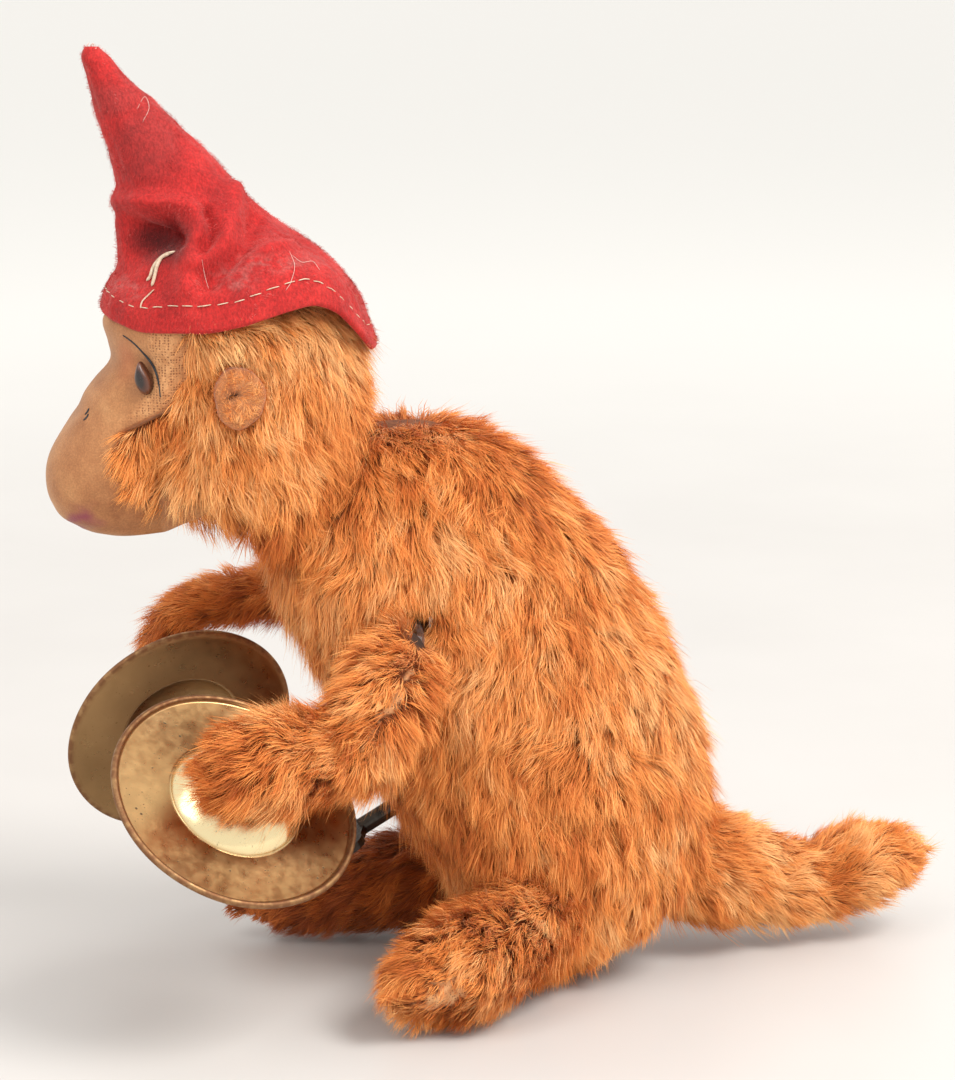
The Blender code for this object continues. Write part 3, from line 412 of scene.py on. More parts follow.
def scatter(grid, density, seed):
    """Even random places on a grid, with the grid's normal at each."""
    rng = np.random.default_rng(seed)
    wrapped = np.concatenate([grid, grid[:, :1]], axis=1)
    normals = grid_normals(grid)
    normals = np.concatenate([normals, normals[:, :1]], axis=1)
    one = np.cross(wrapped[1:, 1:] - wrapped[:-1, :-1], wrapped[1:, :-1] - wrapped[:-1, 1:])
    area = np.linalg.norm(one, axis=-1) / 2
    count = int(area.sum() * density)
    pick = rng.choice(area.size, size=count, p=(area / area.sum()).ravel())
    r, c = np.unravel_index(pick, area.shape)
    s, t = rng.random((2, count))[..., None]

    def read(table):
        low = table[r, c] * (1 - t) + table[r, c + 1] * t
        high = table[r + 1, c] * (1 - t) + table[r + 1, c + 1] * t
        return low * (1 - s) + high * s
    return read(wrapped), unit(read(normals))


def locks(roots, spacing, seed, density):
    """The lock that each strand belongs to: the index of a strand near it that leads the lock."""
    rng = np.random.default_rng(seed)
    count = max(4, int(len(roots) / (density * spacing**2)))
    leads = rng.choice(len(roots), size=min(count, len(roots)), replace=False)
    tree = kdtree.KDTree(len(leads))
    for place, lead in enumerate(leads):
        tree.insert(roots[lead], place)
    tree.balance()
    found = np.array([tree.find(p)[1] for p in roots])
    return leads, found


def grow(name, grid, flow, look, seed, keep=None, length=6.4, lift=24.0, spacing=1.8, width=0.135, pinch=0.62,
         long_at=None, lift_at=None, density=None):
    """Fur as tapered strands gathered in locks, in pieces of a limited size.

    flow gives the combing direction and look each strand's tone. long_at and lift_at give a share of the
    length and degrees of extra lift, place by place.
    """
    rng = np.random.default_rng(seed)
    density = density or FUR_DENSITY
    roots, normals = scatter(grid, density, seed)
    if keep is not None:
        chosen = keep(roots)
        roots, normals = roots[chosen], normals[chosen]
    order = np.argsort(-roots[:, 2], kind="stable")
    roots, normals = roots[order], normals[order]
    count = len(roots)
    leads, lock = locks(roots, spacing, seed + 1, density)
    combed = flow(roots)
    combed = unit(combed - normals * (combed * normals).sum(-1, keepdims=True))
    swirl = 0.26 * waves(roots, 17, seed + 2) + 0.20 * waves(roots, 6.5, seed + 3)
    bend = swirl + rng.normal(0, 0.20, len(leads))[lock] + rng.normal(0, 0.12, count)
    raised = 1 + 0.30 * rng.normal(0, 1, len(leads))[lock] + 0.25 * waves(roots, 11, seed + 4)
    rise = np.radians(lift * raised)
    if lift_at is not None:
        rise = rise + np.radians(lift_at(roots))
    stray = rng.random(count) < 0.08
    rise = np.clip(rise + rng.normal(0, 0.10, count) + stray * rng.uniform(0.1, 0.6, count), 0.02, 1.4)
    lock_long = np.clip(rng.normal(1, 0.18, len(leads)), 0.5, 1.4)[lock]
    long = length * lock_long * np.clip(rng.normal(0.95, 0.14, count), 0.4, 1.3)
    if long_at is not None:
        long = long * long_at(roots)
    curl = rng.normal(0, 0.38, len(leads))[lock] + rng.normal(0, 0.25, count)
    offset = roots - roots[leads][lock]
    hold = np.where(stray, 0.2, 1.0) * pinch
    spine = strand_spines(roots, normals, combed, rise, long, bend, curl, offset, hold)
    lowest = 0.15 + 0.05 * rng.random(count)[:, None]
    height = spine[..., 2]
    spine[..., 2] = np.where(height < 1.0, lowest + 0.85 * np.exp((height - 1.0) / 0.85), height)
    roll = rng.normal(0, 0.5, count)[:, None, None]
    thick = (width * rng.uniform(0.7, 1.25, count) * np.where(stray, 0.6, 1.0))[:, None, None]
    points = strand_corners(spine, normals, roll, thick)
    tone = look(roots) + rng.normal(0, 0.085, len(leads))[lock] + rng.normal(0, 0.075, count)
    tone = np.clip(tone + 0.09 * waves(roots, 9, seed + 5), 0, 1)
    made = []
    parts = max(1, math.ceil(count / STRANDS_IN_PIECE))
    for part, chosen in enumerate(np.array_split(np.arange(count), parts)):
        title = name if parts == 1 else f"{name}_{part + 1}"
        made.append(strand_object(title, points[chosen], tone[chosen]))
    return made


def strand_spines(roots, normals, combed, rise, long, bend, curl, offset, hold):
    """Root, middle and tip of each strand, which leans, turns, droops and closes in on its lock's lead."""
    side = np.cross(normals, combed)
    spine = [roots]
    for before, after, drawn in ((0.0, 0.5, 0.38), (0.5, 1.0, 0.62)):
        mid = (before + after) / 2
        angle = rise * (1.55 - 1.1 * mid)
        turn = (bend + curl * (mid - 0.2))[:, None]
        way = combed * np.cos(turn) + side * np.sin(turn)
        stride = way * np.cos(angle)[:, None] + normals * np.sin(angle)[:, None]
        stride = stride - np.array([0, 0, 0.12 * after])
        step = spine[-1] + stride * (long * (after - before))[:, None]
        spine.append(step - offset * (hold * drawn)[:, None])
    return np.stack(spine, 1)


def strand_corners(spine, normals, roll, thick):
    """The corners of flat strands: two at the root, two at the middle and one at the tip."""
    tangent = unit(np.gradient(spine, axis=1))
    flat = unit(np.cross(tangent, normals[:, None] + 0 * tangent))
    edge = flat * np.cos(roll) + np.cross(tangent, flat) * np.sin(roll)
    points = np.empty((len(spine), 5, 3))
    points[:, 0:4:2] = spine[:, :2] - edge[:, :2] * thick / 2
    points[:, 1:4:2] = spine[:, :2] + edge[:, :2] * thick / 2
    points[:, 4] = spine[:, 2]
    return points


def strand_object(name, points, tone):
    """One mesh of strands, each a quad and a tip.

    Its map puts every strand in the column of its own tone, from root at the bottom to tip at the top.
    """
    count = len(points)
    pattern = np.array([0, 1, 3, 2, 2, 3, 4])
    loops = ((np.arange(count) * 5)[:, None] + pattern[None, :]).ravel()
    mesh = fast_mesh(name, points.reshape(-1, 3), loops, np.tile([4, 3], count))
    along = np.array([0, 0, 0.5, 0.5, 1.0])
    paint(mesh, "tone", np.repeat(tone, 5))
    paint(mesh, "along", np.tile(along, count))
    column = np.minimum((tone * TONES).astype(int), TONES - 1)[:, None]
    across = (column + np.array([0.15, 0.85, 0.15, 0.85, 0.5])) / TONES
    where = np.stack([across, np.broadcast_to(0.02 + 0.96 * along, across.shape)], -1).reshape(-1, 2)
    layer = mesh.uv_layers.new(name="OFBake")
    layer.data.foreach_set("uv", where[loops].astype(np.float32).ravel())
    return new_object(name, mesh)


# ---------------------------------------------------------------- materials

class Nodes:
    """A material's node tree, with short ways to add and join nodes."""

    def __init__(self, name, **values):
        self.material = bpy.data.materials.new(name)
        self.material.use_nodes = True
        self.tree = self.material.node_tree
        self.shader = self.tree.nodes["Principled BSDF"]
        for key, value in values.items():
            self.shader.inputs[key.replace("_", " ")].default_value = value
        self.place = self.add("ShaderNodeTexCoord").outputs["Object"]

    def add(self, kind, **settings):
        node = self.tree.nodes.new(kind)
        for key, value in settings.items():
            setattr(node, key, value)
        return node

    def join(self, source, target):
        self.tree.links.new(source, target)

    def value(self, name):
        return self.add("ShaderNodeAttribute", attribute_name=name).outputs["Fac"]

    def noise(self, scale, detail=3.0, roughness=0.55, stretch=None):
        node = self.add("ShaderNodeTexNoise")
        node.inputs["Scale"].default_value = scale
        node.inputs["Detail"].default_value = detail
        node.inputs["Roughness"].default_value = roughness
        self.join(self.stretched(stretch) if stretch else self.place, node.inputs["Vector"])
        return node.outputs["Fac"]

    def stretched(self, amounts):
        node = self.add("ShaderNodeMapping")
        node.inputs["Scale"].default_value = amounts
        self.join(self.place, node.inputs["Vector"])
        return node.outputs["Vector"]

    def cells(self, scale, randomness=1.0):
        node = self.add("ShaderNodeTexVoronoi")
        node.inputs["Scale"].default_value = scale
        node.inputs["Randomness"].default_value = randomness
        self.join(self.place, node.inputs["Vector"])
        return node.outputs["Distance"]

    def math(self, kind, a, b=None):
        node = self.add("ShaderNodeMath", operation=kind)
        for place, value in enumerate([a, b]):
            if value is None:
                continue
            if isinstance(value, (int, float)):
                node.inputs[place].default_value = value
            else:
                self.join(value, node.inputs[place])
        return node.outputs[0]

    def span(self, value, low, high, to_low=0.0, to_high=1.0):
        node = self.add("ShaderNodeMapRange", interpolation_type="SMOOTHSTEP")
        self.join(value, node.inputs["Value"])
        node.inputs["From Min"].default_value = low
        node.inputs["From Max"].default_value = high
        node.inputs["To Min"].default_value = to_low
        node.inputs["To Max"].default_value = to_high
        return node.outputs["Result"]

    def ramp(self, value, *stops):
        node = self.add("ShaderNodeValToRGB")
        elements = node.color_ramp.elements
        while len(elements) < len(stops):
            elements.new(0.5)
        for element, (place, colour) in zip(elements, stops):
            element.position = place
            element.color = (*colour, 1)
        self.join(value, node.inputs["Fac"])
        return node.outputs["Color"]

    def mix(self, share, a, b, kind="MIX"):
        node = self.add("ShaderNodeMix", data_type="RGBA", blend_type=kind)
        for socket, value in ((node.inputs[0], share), (node.inputs[6], a), (node.inputs[7], b)):
            if isinstance(value, tuple):
                socket.default_value = (*value, 1)
            elif isinstance(value, (int, float)):
                socket.default_value = value
            else:
                self.join(value, socket)
        return node.outputs[2]

    def spot(self, centre, reach, hard=0.3):
        """1 inside an ellipsoid about a point given in millimetres, 0 outside."""
        node = self.add("ShaderNodeMapping", vector_type="TEXTURE")
        node.inputs["Location"].default_value = [c * MM for c in centre]
        node.inputs["Scale"].default_value = [r * MM for r in reach]
        self.join(self.place, node.inputs["Vector"])
        length = self.add("ShaderNodeVectorMath", operation="LENGTH")
        self.join(node.outputs["Vector"], length.inputs[0])
        return self.span(length.outputs["Value"], 1 - hard, 1 + hard, 1.0, 0.0)

    def bump(self, height, strength, distance):
        node = self.add("ShaderNodeBump")
        node.inputs["Strength"].default_value = strength
        node.inputs["Distance"].default_value = distance * MM
        self.join(height, node.inputs["Height"])
        self.join(node.outputs["Normal"], self.shader.inputs["Normal"])

    def colour(self, source):
        self.join(source, self.shader.inputs["Base Color"])

    def rough(self, source):
        self.join(source, self.shader.inputs["Roughness"])

    def times(self, a, b):
        return self.math("MULTIPLY", a, b)

    def larger(self, a, b):
        return self.math("MAXIMUM", a, b)

    def stained(self, base, share, most, colour):
        """The base with a colour over it, at most the given amount where the share is 1."""
        return self.mix(self.times(share, most), base, colour)

    def darkened(self, base, value):
        """The base multiplied by a plain value."""
        node = self.add("ShaderNodeCombineColor")
        for socket in node.inputs[:3]:
            self.join(value, socket)
        return self.mix(1.0, base, node.outputs["Color"], "MULTIPLY")


def mohair():
    """Gold-orange pile: deep rust at the root, partly the pile's own colour and partly painted shade deep in
    the pile, honey at the tip, paler as the strand's tone rises.
    """
    m = Nodes("mohair", Roughness=0.58, Sheen_Weight=0.25, Sheen_Roughness=0.45, Specular_IOR_Level=0.3)
    m.shader.inputs["Sheen Tint"].default_value = (1.0, 0.75, 0.5, 1)
    tone = m.value("tone")
    deep = m.ramp(tone, (0.0, (0.17, 0.030, 0.005)), (0.35, (0.40, 0.088, 0.014)),
                  (0.65, (0.62, 0.175, 0.034)), (1.0, (0.80, 0.34, 0.10)))
    pale = m.ramp(tone, (0.0, (0.38, 0.075, 0.011)), (0.35, (0.74, 0.205, 0.034)),
                  (0.65, (0.92, 0.36, 0.085)), (1.0, (0.97, 0.56, 0.23)))
    m.colour(m.mix(m.span(m.value("along"), 0.0, 0.8), deep, pale))
    return m.material


def backing():
    """The woven ground of the pile: rusty under the pile, paler and open where it is worn bald, and
    near-black as painted shade inside the shoulder slits.
    """
    m = Nodes("mohair_backing", Roughness=0.9)
    ground = m.ramp(m.noise(700, 4), (0.3, (0.10, 0.024, 0.005)), (0.7, (0.25, 0.075, 0.016)))
    holes = m.span(m.cells(1900, 0.7), 0.14, 0.34)
    thread = m.ramp(m.noise(600, 4), (0.3, (0.62, 0.27, 0.10)), (0.7, (0.84, 0.48, 0.23)))
    bald = m.mix(holes, (0.20, 0.065, 0.022), thread)
    cloth = m.mix(m.span(m.value("bald"), 0.2, 0.8), ground, bald)
    # painted shade: the ground is near-black inside the shoulder slits
    m.colour(m.mix(m.value("slit_shade"), cloth, (0.018, 0.010, 0.007)))
    m.bump(holes, 0.6, 0.15)
    return m.material


def face_cloth():
    """Tan flannel, mottled and flecked, open-woven at the temples, reddened inside the eye hollows."""
    m = Nodes("face_cloth", Roughness=0.84, Sheen_Weight=0.3, Sheen_Roughness=0.4)
    m.shader.inputs["Sheen Tint"].default_value = (1.0, 0.88, 0.7, 1)
    holes = m.span(m.cells(1850, 0.3), 0.16, 0.46)
    mottle = m.ramp(m.noise(130, 5, 0.62), (0.30, (0.34, 0.130, 0.047)), (0.48, (0.43, 0.180, 0.068)),
                    (0.62, (0.50, 0.225, 0.088)), (0.78, (0.57, 0.285, 0.120)))
    thread = m.ramp(m.noise(500, 4), (0.3, (0.52, 0.22, 0.082)), (0.7, (0.70, 0.35, 0.15)))
    open_weave = m.mix(holes, (0.25, 0.090, 0.034), thread)
    base = m.mix(m.span(m.value("temple"), 0.2, 0.8), mottle, open_weave)
    fibre = m.span(m.noise(2600, 2), 0.35, 0.7, 0.86, 1.08)
    base = m.darkened(base, fibre)
    flecks = m.times(m.span(m.cells(900), 0.05, 0.10, 1.0, 0.0), m.span(m.noise(180, 2), 0.50, 0.60))
    base = m.stained(base, flecks, 0.14, (0.20, 0.09, 0.045))
    for side in (1, -1):
        blush = m.spot((12.0 * side, -87.2, 133.2), (3.6, 2.6, 3.6), 0.7)
        base = m.stained(base, blush, 0.50, (0.48, 0.13, 0.06))
        shade = m.spot((15.2 * side, -85.2, 130.4), (3.2, 2.6, 3.8), 0.5)
        base = m.stained(base, shade, 0.40, (0.21, 0.10, 0.06))
    lips = m.times(m.value("mouth"), m.span(m.noise(600, 4), 0.3, 0.5, 0.6, 1.0))
    base = m.mix(lips, base, (0.27, 0.055, 0.075))
    m.colour(base)
    weave = m.times(holes, m.span(m.value("temple"), 0, 1, 0.3, 1.0))
    m.bump(m.math("ADD", weave, m.noise(2600, 2)), 0.55, 0.16)
    return m.material


def cap_felt():
    """Red felt, with painted shade in the hollow under the roll, darker where it was handled, with dust, lint
    and a fibrous grain.
    """
    m = Nodes("cap_felt", Roughness=0.9, Sheen_Weight=0.35, Sheen_Roughness=0.35)
    m.shader.inputs["Sheen Tint"].default_value = (1.0, 0.42, 0.38, 1)
    base = m.ramp(m.noise(110, 5, 0.6), (0.28, (0.32, 0.010, 0.010)), (0.5, (0.47, 0.015, 0.014)),
                  (0.72, (0.57, 0.026, 0.022)))
    stain = m.larger(m.spot((12, -80, 176), (14, 6, 8), 0.6), m.spot((8, -87, 183), (14, 6, 3), 0.6))
    base = m.stained(base, stain, 0.45, (0.20, 0.030, 0.028))
    # painted shade: the deep hollow under the front roll is darkened almost to black
    hollow = m.spot((13, -79.6, 155.9), (12, 5.6, 3.6), 0.55)
    base = m.stained(base, hollow, 0.92, (0.055, 0.004, 0.004))
    dust = m.spot((22, -59, 152.6), (12, 7.5, 1.5), 0.7)
    for place, reach in (((20, -66.5, 149.6), (12, 4, 2.0)), ((10, -86.5, 147.0), (10, 4, 2.2))):
        dust = m.larger(dust, m.spot(place, reach, 0.7))
    dust = m.times(dust, m.span(m.noise(520, 5), 0.38, 0.66))
    base = m.stained(base, dust, 0.42, (0.36, 0.17, 0.15))
    lint = m.span(m.cells(520), 0.0, 0.075, 1.0, 0.0)
    lint = m.times(lint, m.span(m.noise(160), 0.54, 0.64))
    base = m.stained(base, lint, 0.6, (0.70, 0.36, 0.30))
    fibre = m.span(m.noise(2400, 3, 0.6, stretch=(1, 1, 0.5)), 0.3, 0.72, 0.70, 1.2)
    m.colour(m.darkened(base, fibre))
    m.bump(m.math("ADD", m.noise(2100, 3), m.times(m.noise(420, 3), 1.2)), 0.5, 0.3)
    return m.material


def plain_cloth(name, dark, light, scale=900, sheen=0.2):
    """Thread, ink or stuffing: two tones mottled together."""
    m = Nodes(name, Roughness=0.86, Sheen_Weight=sheen)
    m.colour(m.ramp(m.noise(scale, 4), (0.3, dark), (0.7, light)))
    m.bump(m.noise(scale * 2, 3), 0.5, 0.15)
    return m.material


def ear_felt():
    """Tan felt with a dark pucker."""
    m = Nodes("ear_felt", Roughness=0.88, Sheen_Weight=0.25)
    base = m.ramp(m.noise(420, 5, 0.6), (0.3, (0.36, 0.115, 0.036)), (0.5, (0.52, 0.20, 0.070)),
                  (0.75, (0.63, 0.29, 0.115)))
    base = m.mix(m.value("pucker"), base, (0.10, 0.035, 0.016))
    fibre = m.span(m.noise(2600, 2), 0.35, 0.7, 0.78, 1.12)
    m.colour(m.darkened(base, fibre))
    m.bump(m.noise(2000, 3), 0.7, 0.25)
    return m.material


def glass_eye():
    """Brown glass with a black middle, dulled a little."""
    m = Nodes("eye_glass", Roughness=0.30, Coat_Weight=0.35, Coat_Roughness=0.28)
    m.colour(m.ramp(m.value("lens"), (0.0, (0.010, 0.006, 0.005)), (0.45, (0.020, 0.009, 0.007)),
                    (0.65, (0.070, 0.020, 0.009)), (0.9, (0.13, 0.040, 0.018)), (1.0, (0.06, 0.018, 0.009))))
    m.rough(m.span(m.noise(500), 0.3, 0.7, 0.24, 0.38))
    return m.material


def brassed_tin():
    """Thin brass lacquer over tin: satin on the bow, bright on the dome, specked, coppery at the rim."""
    m = Nodes("brassed_tin", Metallic=1.0, Roughness=0.26)
    hue = m.ramp(m.noise(55, 4, 0.5), (0.3, (0.54, 0.345, 0.150)), (0.55, (0.585, 0.38, 0.173)),
                 (0.8, (0.62, 0.42, 0.21)))
    dome = m.span(m.value("dome"), 0.2, 0.9)
    hue = m.mix(dome, hue, (0.90, 0.74, 0.43))
    dirt = m.times(m.span(m.noise(300, 6, 0.7), 0.56, 0.70), m.value("handled"))
    hue = m.stained(hue, dirt, 0.8, (0.20, 0.14, 0.085))
    specks = m.times(m.span(m.cells(420), 0.08, 0.15, 1.0, 0.0), m.span(m.noise(150, 3), 0.52, 0.60))
    fine = m.times(m.span(m.cells(1100), 0.10, 0.20, 1.0, 0.0), m.span(m.noise(220, 2), 0.48, 0.62))
    specks = m.larger(specks, fine)
    hue = m.stained(hue, specks, 0.85, (0.055, 0.045, 0.035))
    rim = m.times(m.span(m.value("rim"), 0.2, 0.9), m.span(m.noise(520, 4), 0.30, 0.62, 0.55, 1.0))
    hue = m.mix(rim, hue, (0.26, 0.125, 0.062))
    dull = m.ramp(m.noise(70, 4), (0.3, (0.32, 0.19, 0.084)), (0.7, (0.44, 0.27, 0.122)))
    hue = m.stained(hue, m.value("inside"), 0.85, dull)
    m.colour(hue)
    rough = m.span(m.noise(400, 4), 0.25, 0.75, 0.26, 0.38)
    rough = m.math("SUBTRACT", rough, m.times(dome, 0.12))
    rough = m.math("ADD", rough, m.times(m.larger(specks, rim), 0.30))
    m.rough(rough)
    m.bump(m.math("SUBTRACT", m.noise(500, 3), m.times(specks, 0.8)), 0.10, 0.12)
    return m.material


def metal(name, dark, light, rough, scale=350, wear=(0.10, 0.07, 0.05)):
    """A mottled metal with worn or rusty spots."""
    m = Nodes(name, Metallic=1.0, Roughness=rough)
    hue = m.ramp(m.noise(scale, 5), (0.3, dark), (0.7, light))
    spots = m.span(m.noise(scale * 2.2, 6, 0.7), 0.56, 0.68)
    m.colour(m.mix(m.times(spots, 0.7), hue, wear))
    m.rough(m.span(m.noise(scale * 3, 4), 0.3, 0.7, rough - 0.1, rough + 0.15))
    m.bump(m.noise(scale * 4, 3), 0.12, 0.1)
    return m.material


FUR = mohair()
GROUND = backing()


# ---------------------------------------------------------------- stage, camera and light

def build_stage():
    """A pale floor, darker near the toy and paler far off as painted light, soft light from above and the
    camera's side, and the camera.
    """
    bpy.ops.mesh.primitive_plane_add(size=80, location=(0, 0, -0.0004))
    floor = bpy.context.object
    floor.name = "floor"
    m = Nodes("pale_floor", Roughness=0.42)
    # painted light: the floor's colour darkens near the toy and pales towards the far floor
    near = m.ramp(m.noise(9.0, 3), (0.3, (0.60, 0.575, 0.555)), (0.7, (0.635, 0.61, 0.59)))
    m.colour(m.mix(m.spot((0, 0, 0), (700, 700, 700), 0.7), (0.90, 0.885, 0.855), near))
    floor.data.materials.append(m.material)
    world = bpy.data.worlds.new("studio")
    world.use_nodes = True
    background = world.node_tree.nodes["Background"]
    background.inputs["Color"].default_value = (1.0, 0.985, 0.955, 1)
    background.inputs["Strength"].default_value = 1.0
    bpy.context.scene.world = world
    area("key", (0.55, 0.50, 0.95), 0.5, 11.0, (1.0, 0.985, 0.95))
    area("front", (0.45, -0.60, 0.85), 0.6, 3.0, (1.0, 0.99, 0.97))
    camera = bpy.data.objects.new("camera", bpy.data.cameras.new("camera"))
    bpy.context.scene.collection.objects.link(camera)
    aim = Vector((5, -15, 93)) * MM
    azimuth, climb, away = math.radians(78), math.radians(12), 0.570
    out = Vector((math.sin(azimuth) * math.cos(climb), -math.cos(azimuth) * math.cos(climb), math.sin(climb)))
    camera.location = aim + out * away
    camera.rotation_euler = (-out).to_track_quat("-Z", "Y").to_euler()
    camera.data.sensor_width = 36
    camera.data.lens = 92.7
    camera.data.clip_start = 0.01
    bpy.context.scene.camera = camera
    bpy.context.scene.view_settings.view_transform = "Standard"


def area(name, place, size, power, colour):
    """A square lamp aimed at the toy."""
    light = bpy.data.objects.new(name, bpy.data.lights.new(name, "AREA"))
    light.data.size = size
    light.data.energy = power
    light.data.color = colour
    light.location = place
    aim = Vector((0, -0.03, 0.08)) - Vector(place)
    light.rotation_euler = aim.to_track_quat("-Z", "Y").to_euler()
    bpy.context.scene.collection.objects.link(light)


# ---------------------------------------------------------------- pieces

def settle(obj, material, body, nodes=()):
    """Gives a piece its material and body, and hides the CAD nodes it stands for."""
    obj.data.materials.append(material)
    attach(obj, body)
    if nodes:
        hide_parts(*nodes)
    return obj


def skin(name, grid, body, nodes, values=None):
    """A soft piece's ground cloth, closed at both ends."""
    mesh = grid_mesh(name, grid, low_cap=True, high_cap=True, values=values)
    return settle(new_object(name, mesh), GROUND, body, nodes)


def pelt(name, grid, flow, look, seed, body="body", **more):
    """Mohair grown on a grid and carried by one body."""
    for fur in grow(name, grid, flow, look, seed, **more):
        settle(fur, FUR, body)


def slit_at(p):
    """1 in a shoulder slit, 0 away from it."""
    return np.maximum(*[near_spot(p, spot, (12, 3.9, 2.7)) for spot in SHOULDER_SLITS])


def body_tone_painted_light(p):
    """Lighter on the rump as painted light, and on the chest; deeper as painted shade at the neck, low in
    front and beside the arms.
    """
    y, z = p[:, 1], p[:, 2]
    tone = 0.66 + 0.07 * waves(p, 30, 77)
    # painted light on the rump, painted shade low in front, at the neck and beside the arms
    tone = tone + 0.12 * smoothstep(0, 25, y) * smoothstep(28, 48, z) * smoothstep(100, 80, z)
    tone = tone - 0.16 * smoothstep(20, 0, y) * smoothstep(60, 20, z)
    tone = tone - 0.26 * smoothstep(96, 114, z)
    tone = tone + 0.08 * smoothstep(-20, -50, y)
    return tone - 0.24 * np.maximum(near_line(p, LEFT_SLEEVE, 16), near_line(p, RIGHT_SLEEVE, 16))


def body_long(p):
    """Pile is short round the shoulder slits, rubbed down behind the arms and cut away under the seat."""
    share = np.ones(len(p))
    for spot in SHOULDER_SLITS:
        share -= 0.68 * near_spot(p, (spot[0], spot[1], spot[2] + 3.0), (14, 6.5, 6.0))
    rubbed = np.maximum(near_line(p, LEFT_SLEEVE, 15), near_line(p, RIGHT_SLEEVE, 15))
    seat = smoothstep(16, 5, p[:, 2]) * smoothstep(-2, 12, p[:, 1])
    return np.clip(share - 0.35 * rubbed - 0.60 * seat, 0.25, 1)


def near_line(p, route, reach):
    """1 beside a limb's route, falling to 0 at the reach."""
    middle = smooth_line([place[:3] for place in route], 24)
    return smoothstep(reach, reach * 0.45, gap_to(p, middle))


def downward(p, away):
    """Combed down and slightly outward, and backwards by the amount given."""
    return np.stack([0.10 * np.sign(p[:, 0]), away, np.full(len(p), -1.0)], -1)


def body_flow(p):
    """Combed down and a little backwards, forwards and down behind the arms."""
    back = smoothstep(-20, 20, p[:, 1]) * smoothstep(40, 80, p[:, 2])
    ahead = near_spot(p * (0, 1, 1), (0, -14, 62), (1, 17, 15))
    low = near_spot(p * (0, 1, 1), (0, -8, 24), (1, 16, 14))
    return downward(p, 0.12 + 0.32 * back - 0.85 * ahead - 0.35 * low)


def body_keep(p):
    """Fur everywhere except the seat, the shoulder slits and under the head."""
    shown = (p[:, 2] > 2.5) & (slit_at(p) < 0.45)
    under_head = (p[:, 1] < -44) & (p[:, 2] > 101)
    return shown & ~under_head


def half_keep(left):
    """Keeps the fur of the body's left half, or of its right."""
    return lambda p: body_keep(p) & ((p[:, 0] >= 0) == left)


def make_body():
    """The body's skin and its fur, in a left and a right half."""
    grid = body_grid(SKIN_INSET)
    # painted shade for the dark inside of the shoulder slits
    slit_shade = smoothstep(0.35, 0.7, slit_at(grid.reshape(-1, 3))).reshape(grid.shape[:2])
    skin("body_skin", grid, "body", ["body_cover"], {"slit_shade": slit_shade})
    for word, left, seed in (("left", True, 100), ("right", False, 110)):
        pelt(f"body_fur_{word}", grid, body_flow, body_tone_painted_light, seed, keep=half_keep(left), length=6.3,
             spacing=1.65, pinch=0.54, long_at=body_long)


def turn_of(p):
    """The turn about the head's axis: 0 at the nose, and positive to the left."""
    return np.arctan2(p[..., 0], HEAD_Y - p[..., 1])


def ear_share(p):
    """0 at the middle of the ear and 1 at its edge."""
    return np.hypot((p[:, 1] - EAR[1]) / EAR_SIZE[0], (p[:, 2] - EAR[2]) / EAR_SIZE[1])


def head_flow(p):
    """Combed down, swept forward and flicked out over the cheeks."""
    ahead = smoothstep(-70, -84, p[:, 1]) * smoothstep(126, 115, p[:, 2])
    back = smoothstep(-60, -35, p[:, 1])
    return downward(p, 0.16 - 1.0 * ahead + 0.10 * back)


def head_tone_painted_light(p):
    """Lighter under the brim as painted light, deeper as painted shade under the chin and towards the nape.
    """
    tone = 0.68 + 0.05 * waves(p, 24, 55) + 0.24 * smoothstep(128, 139, p[:, 2])
    tone = tone - 0.24 * smoothstep(110, 96, p[:, 2])
    return tone - 0.14 * smoothstep(-54, -38, p[:, 1]) * smoothstep(134, 124, p[:, 2])


def head_keep(p):
    """Hood fur: behind the face edge, under the cap's brim, round the ear."""
    behind_face = np.abs(turn_of(p)) > mask_edge(p[:, 2])
    under_brim = p[:, 2] < brim_height(p[:, 1]) + 2.0
    return behind_face & under_brim & ((ear_share(p) > 0.84) | (np.abs(p[:, 0]) < 18))


def head_lift(p):
    """Pile stands up along the face edge and under the cap's brim."""
    past_edge = np.abs(turn_of(p)) - mask_edge(p[:, 2])
    face_edge = smoothstep(0.20, 0.02, past_edge) * smoothstep(130, 122, p[:, 2])
    return 16 * face_edge + 12 * smoothstep(131, 138, p[:, 2]) * smoothstep(-78, -70, p[:, 1])


def head_long(p):
    """Short above the ear, longer under the cheek."""
    above_ear = smoothstep(2.2, 1.0, ear_share(p)) * smoothstep(EAR[2] - 2, EAR[2] + 3, p[:, 2])
    return 1.0 - 0.55 * above_ear + 0.25 * smoothstep(108, 98, p[:, 2])


def make_head():
    """The hood's skin and fur, the face, the eyes and the ears."""
    grid = head_grid(SKIN_INSET - 0.2)
    skin("head_skin", grid, "body", ["head_cover", "head_form"])
    pelt("head_fur", grid, head_flow, head_tone_painted_light, 200, keep=head_keep, length=5.8, spacing=1.55, lift=21,
         width=0.125, pinch=0.66, long_at=head_long, lift_at=head_lift)
    make_face()
    make_eyes()
    make_face_lines()
    make_ears()


def make_face():
    """The face cloth, open-woven at the temples, with a mouth dyed into it."""
    face = face_grid()
    z = face[..., 2]
    temple = smoothstep(0.66, 0.84, np.abs(turn_of(face)) / mask_edge(z)) * smoothstep(118, 127, z)
    wave = 0.25 * waves(face, 4, 9)
    across = np.abs(face[..., 0])
    line = 97.6 + 0.46 * across + wave
    mouth = np.exp(-((z - line) / (0.5 + 0.10 * across)) ** 2) * smoothstep(12.8, 10.4, across + 2 * wave)
    mouth = mouth * smoothstep(-90, -92, face[..., 1])
    mesh = grid_mesh("face_cloth", face, around=False, values={"temple": temple, "mouth": mouth})
    settle(new_object("face_cloth", mesh), face_cloth(), "body", ["face_mask"])


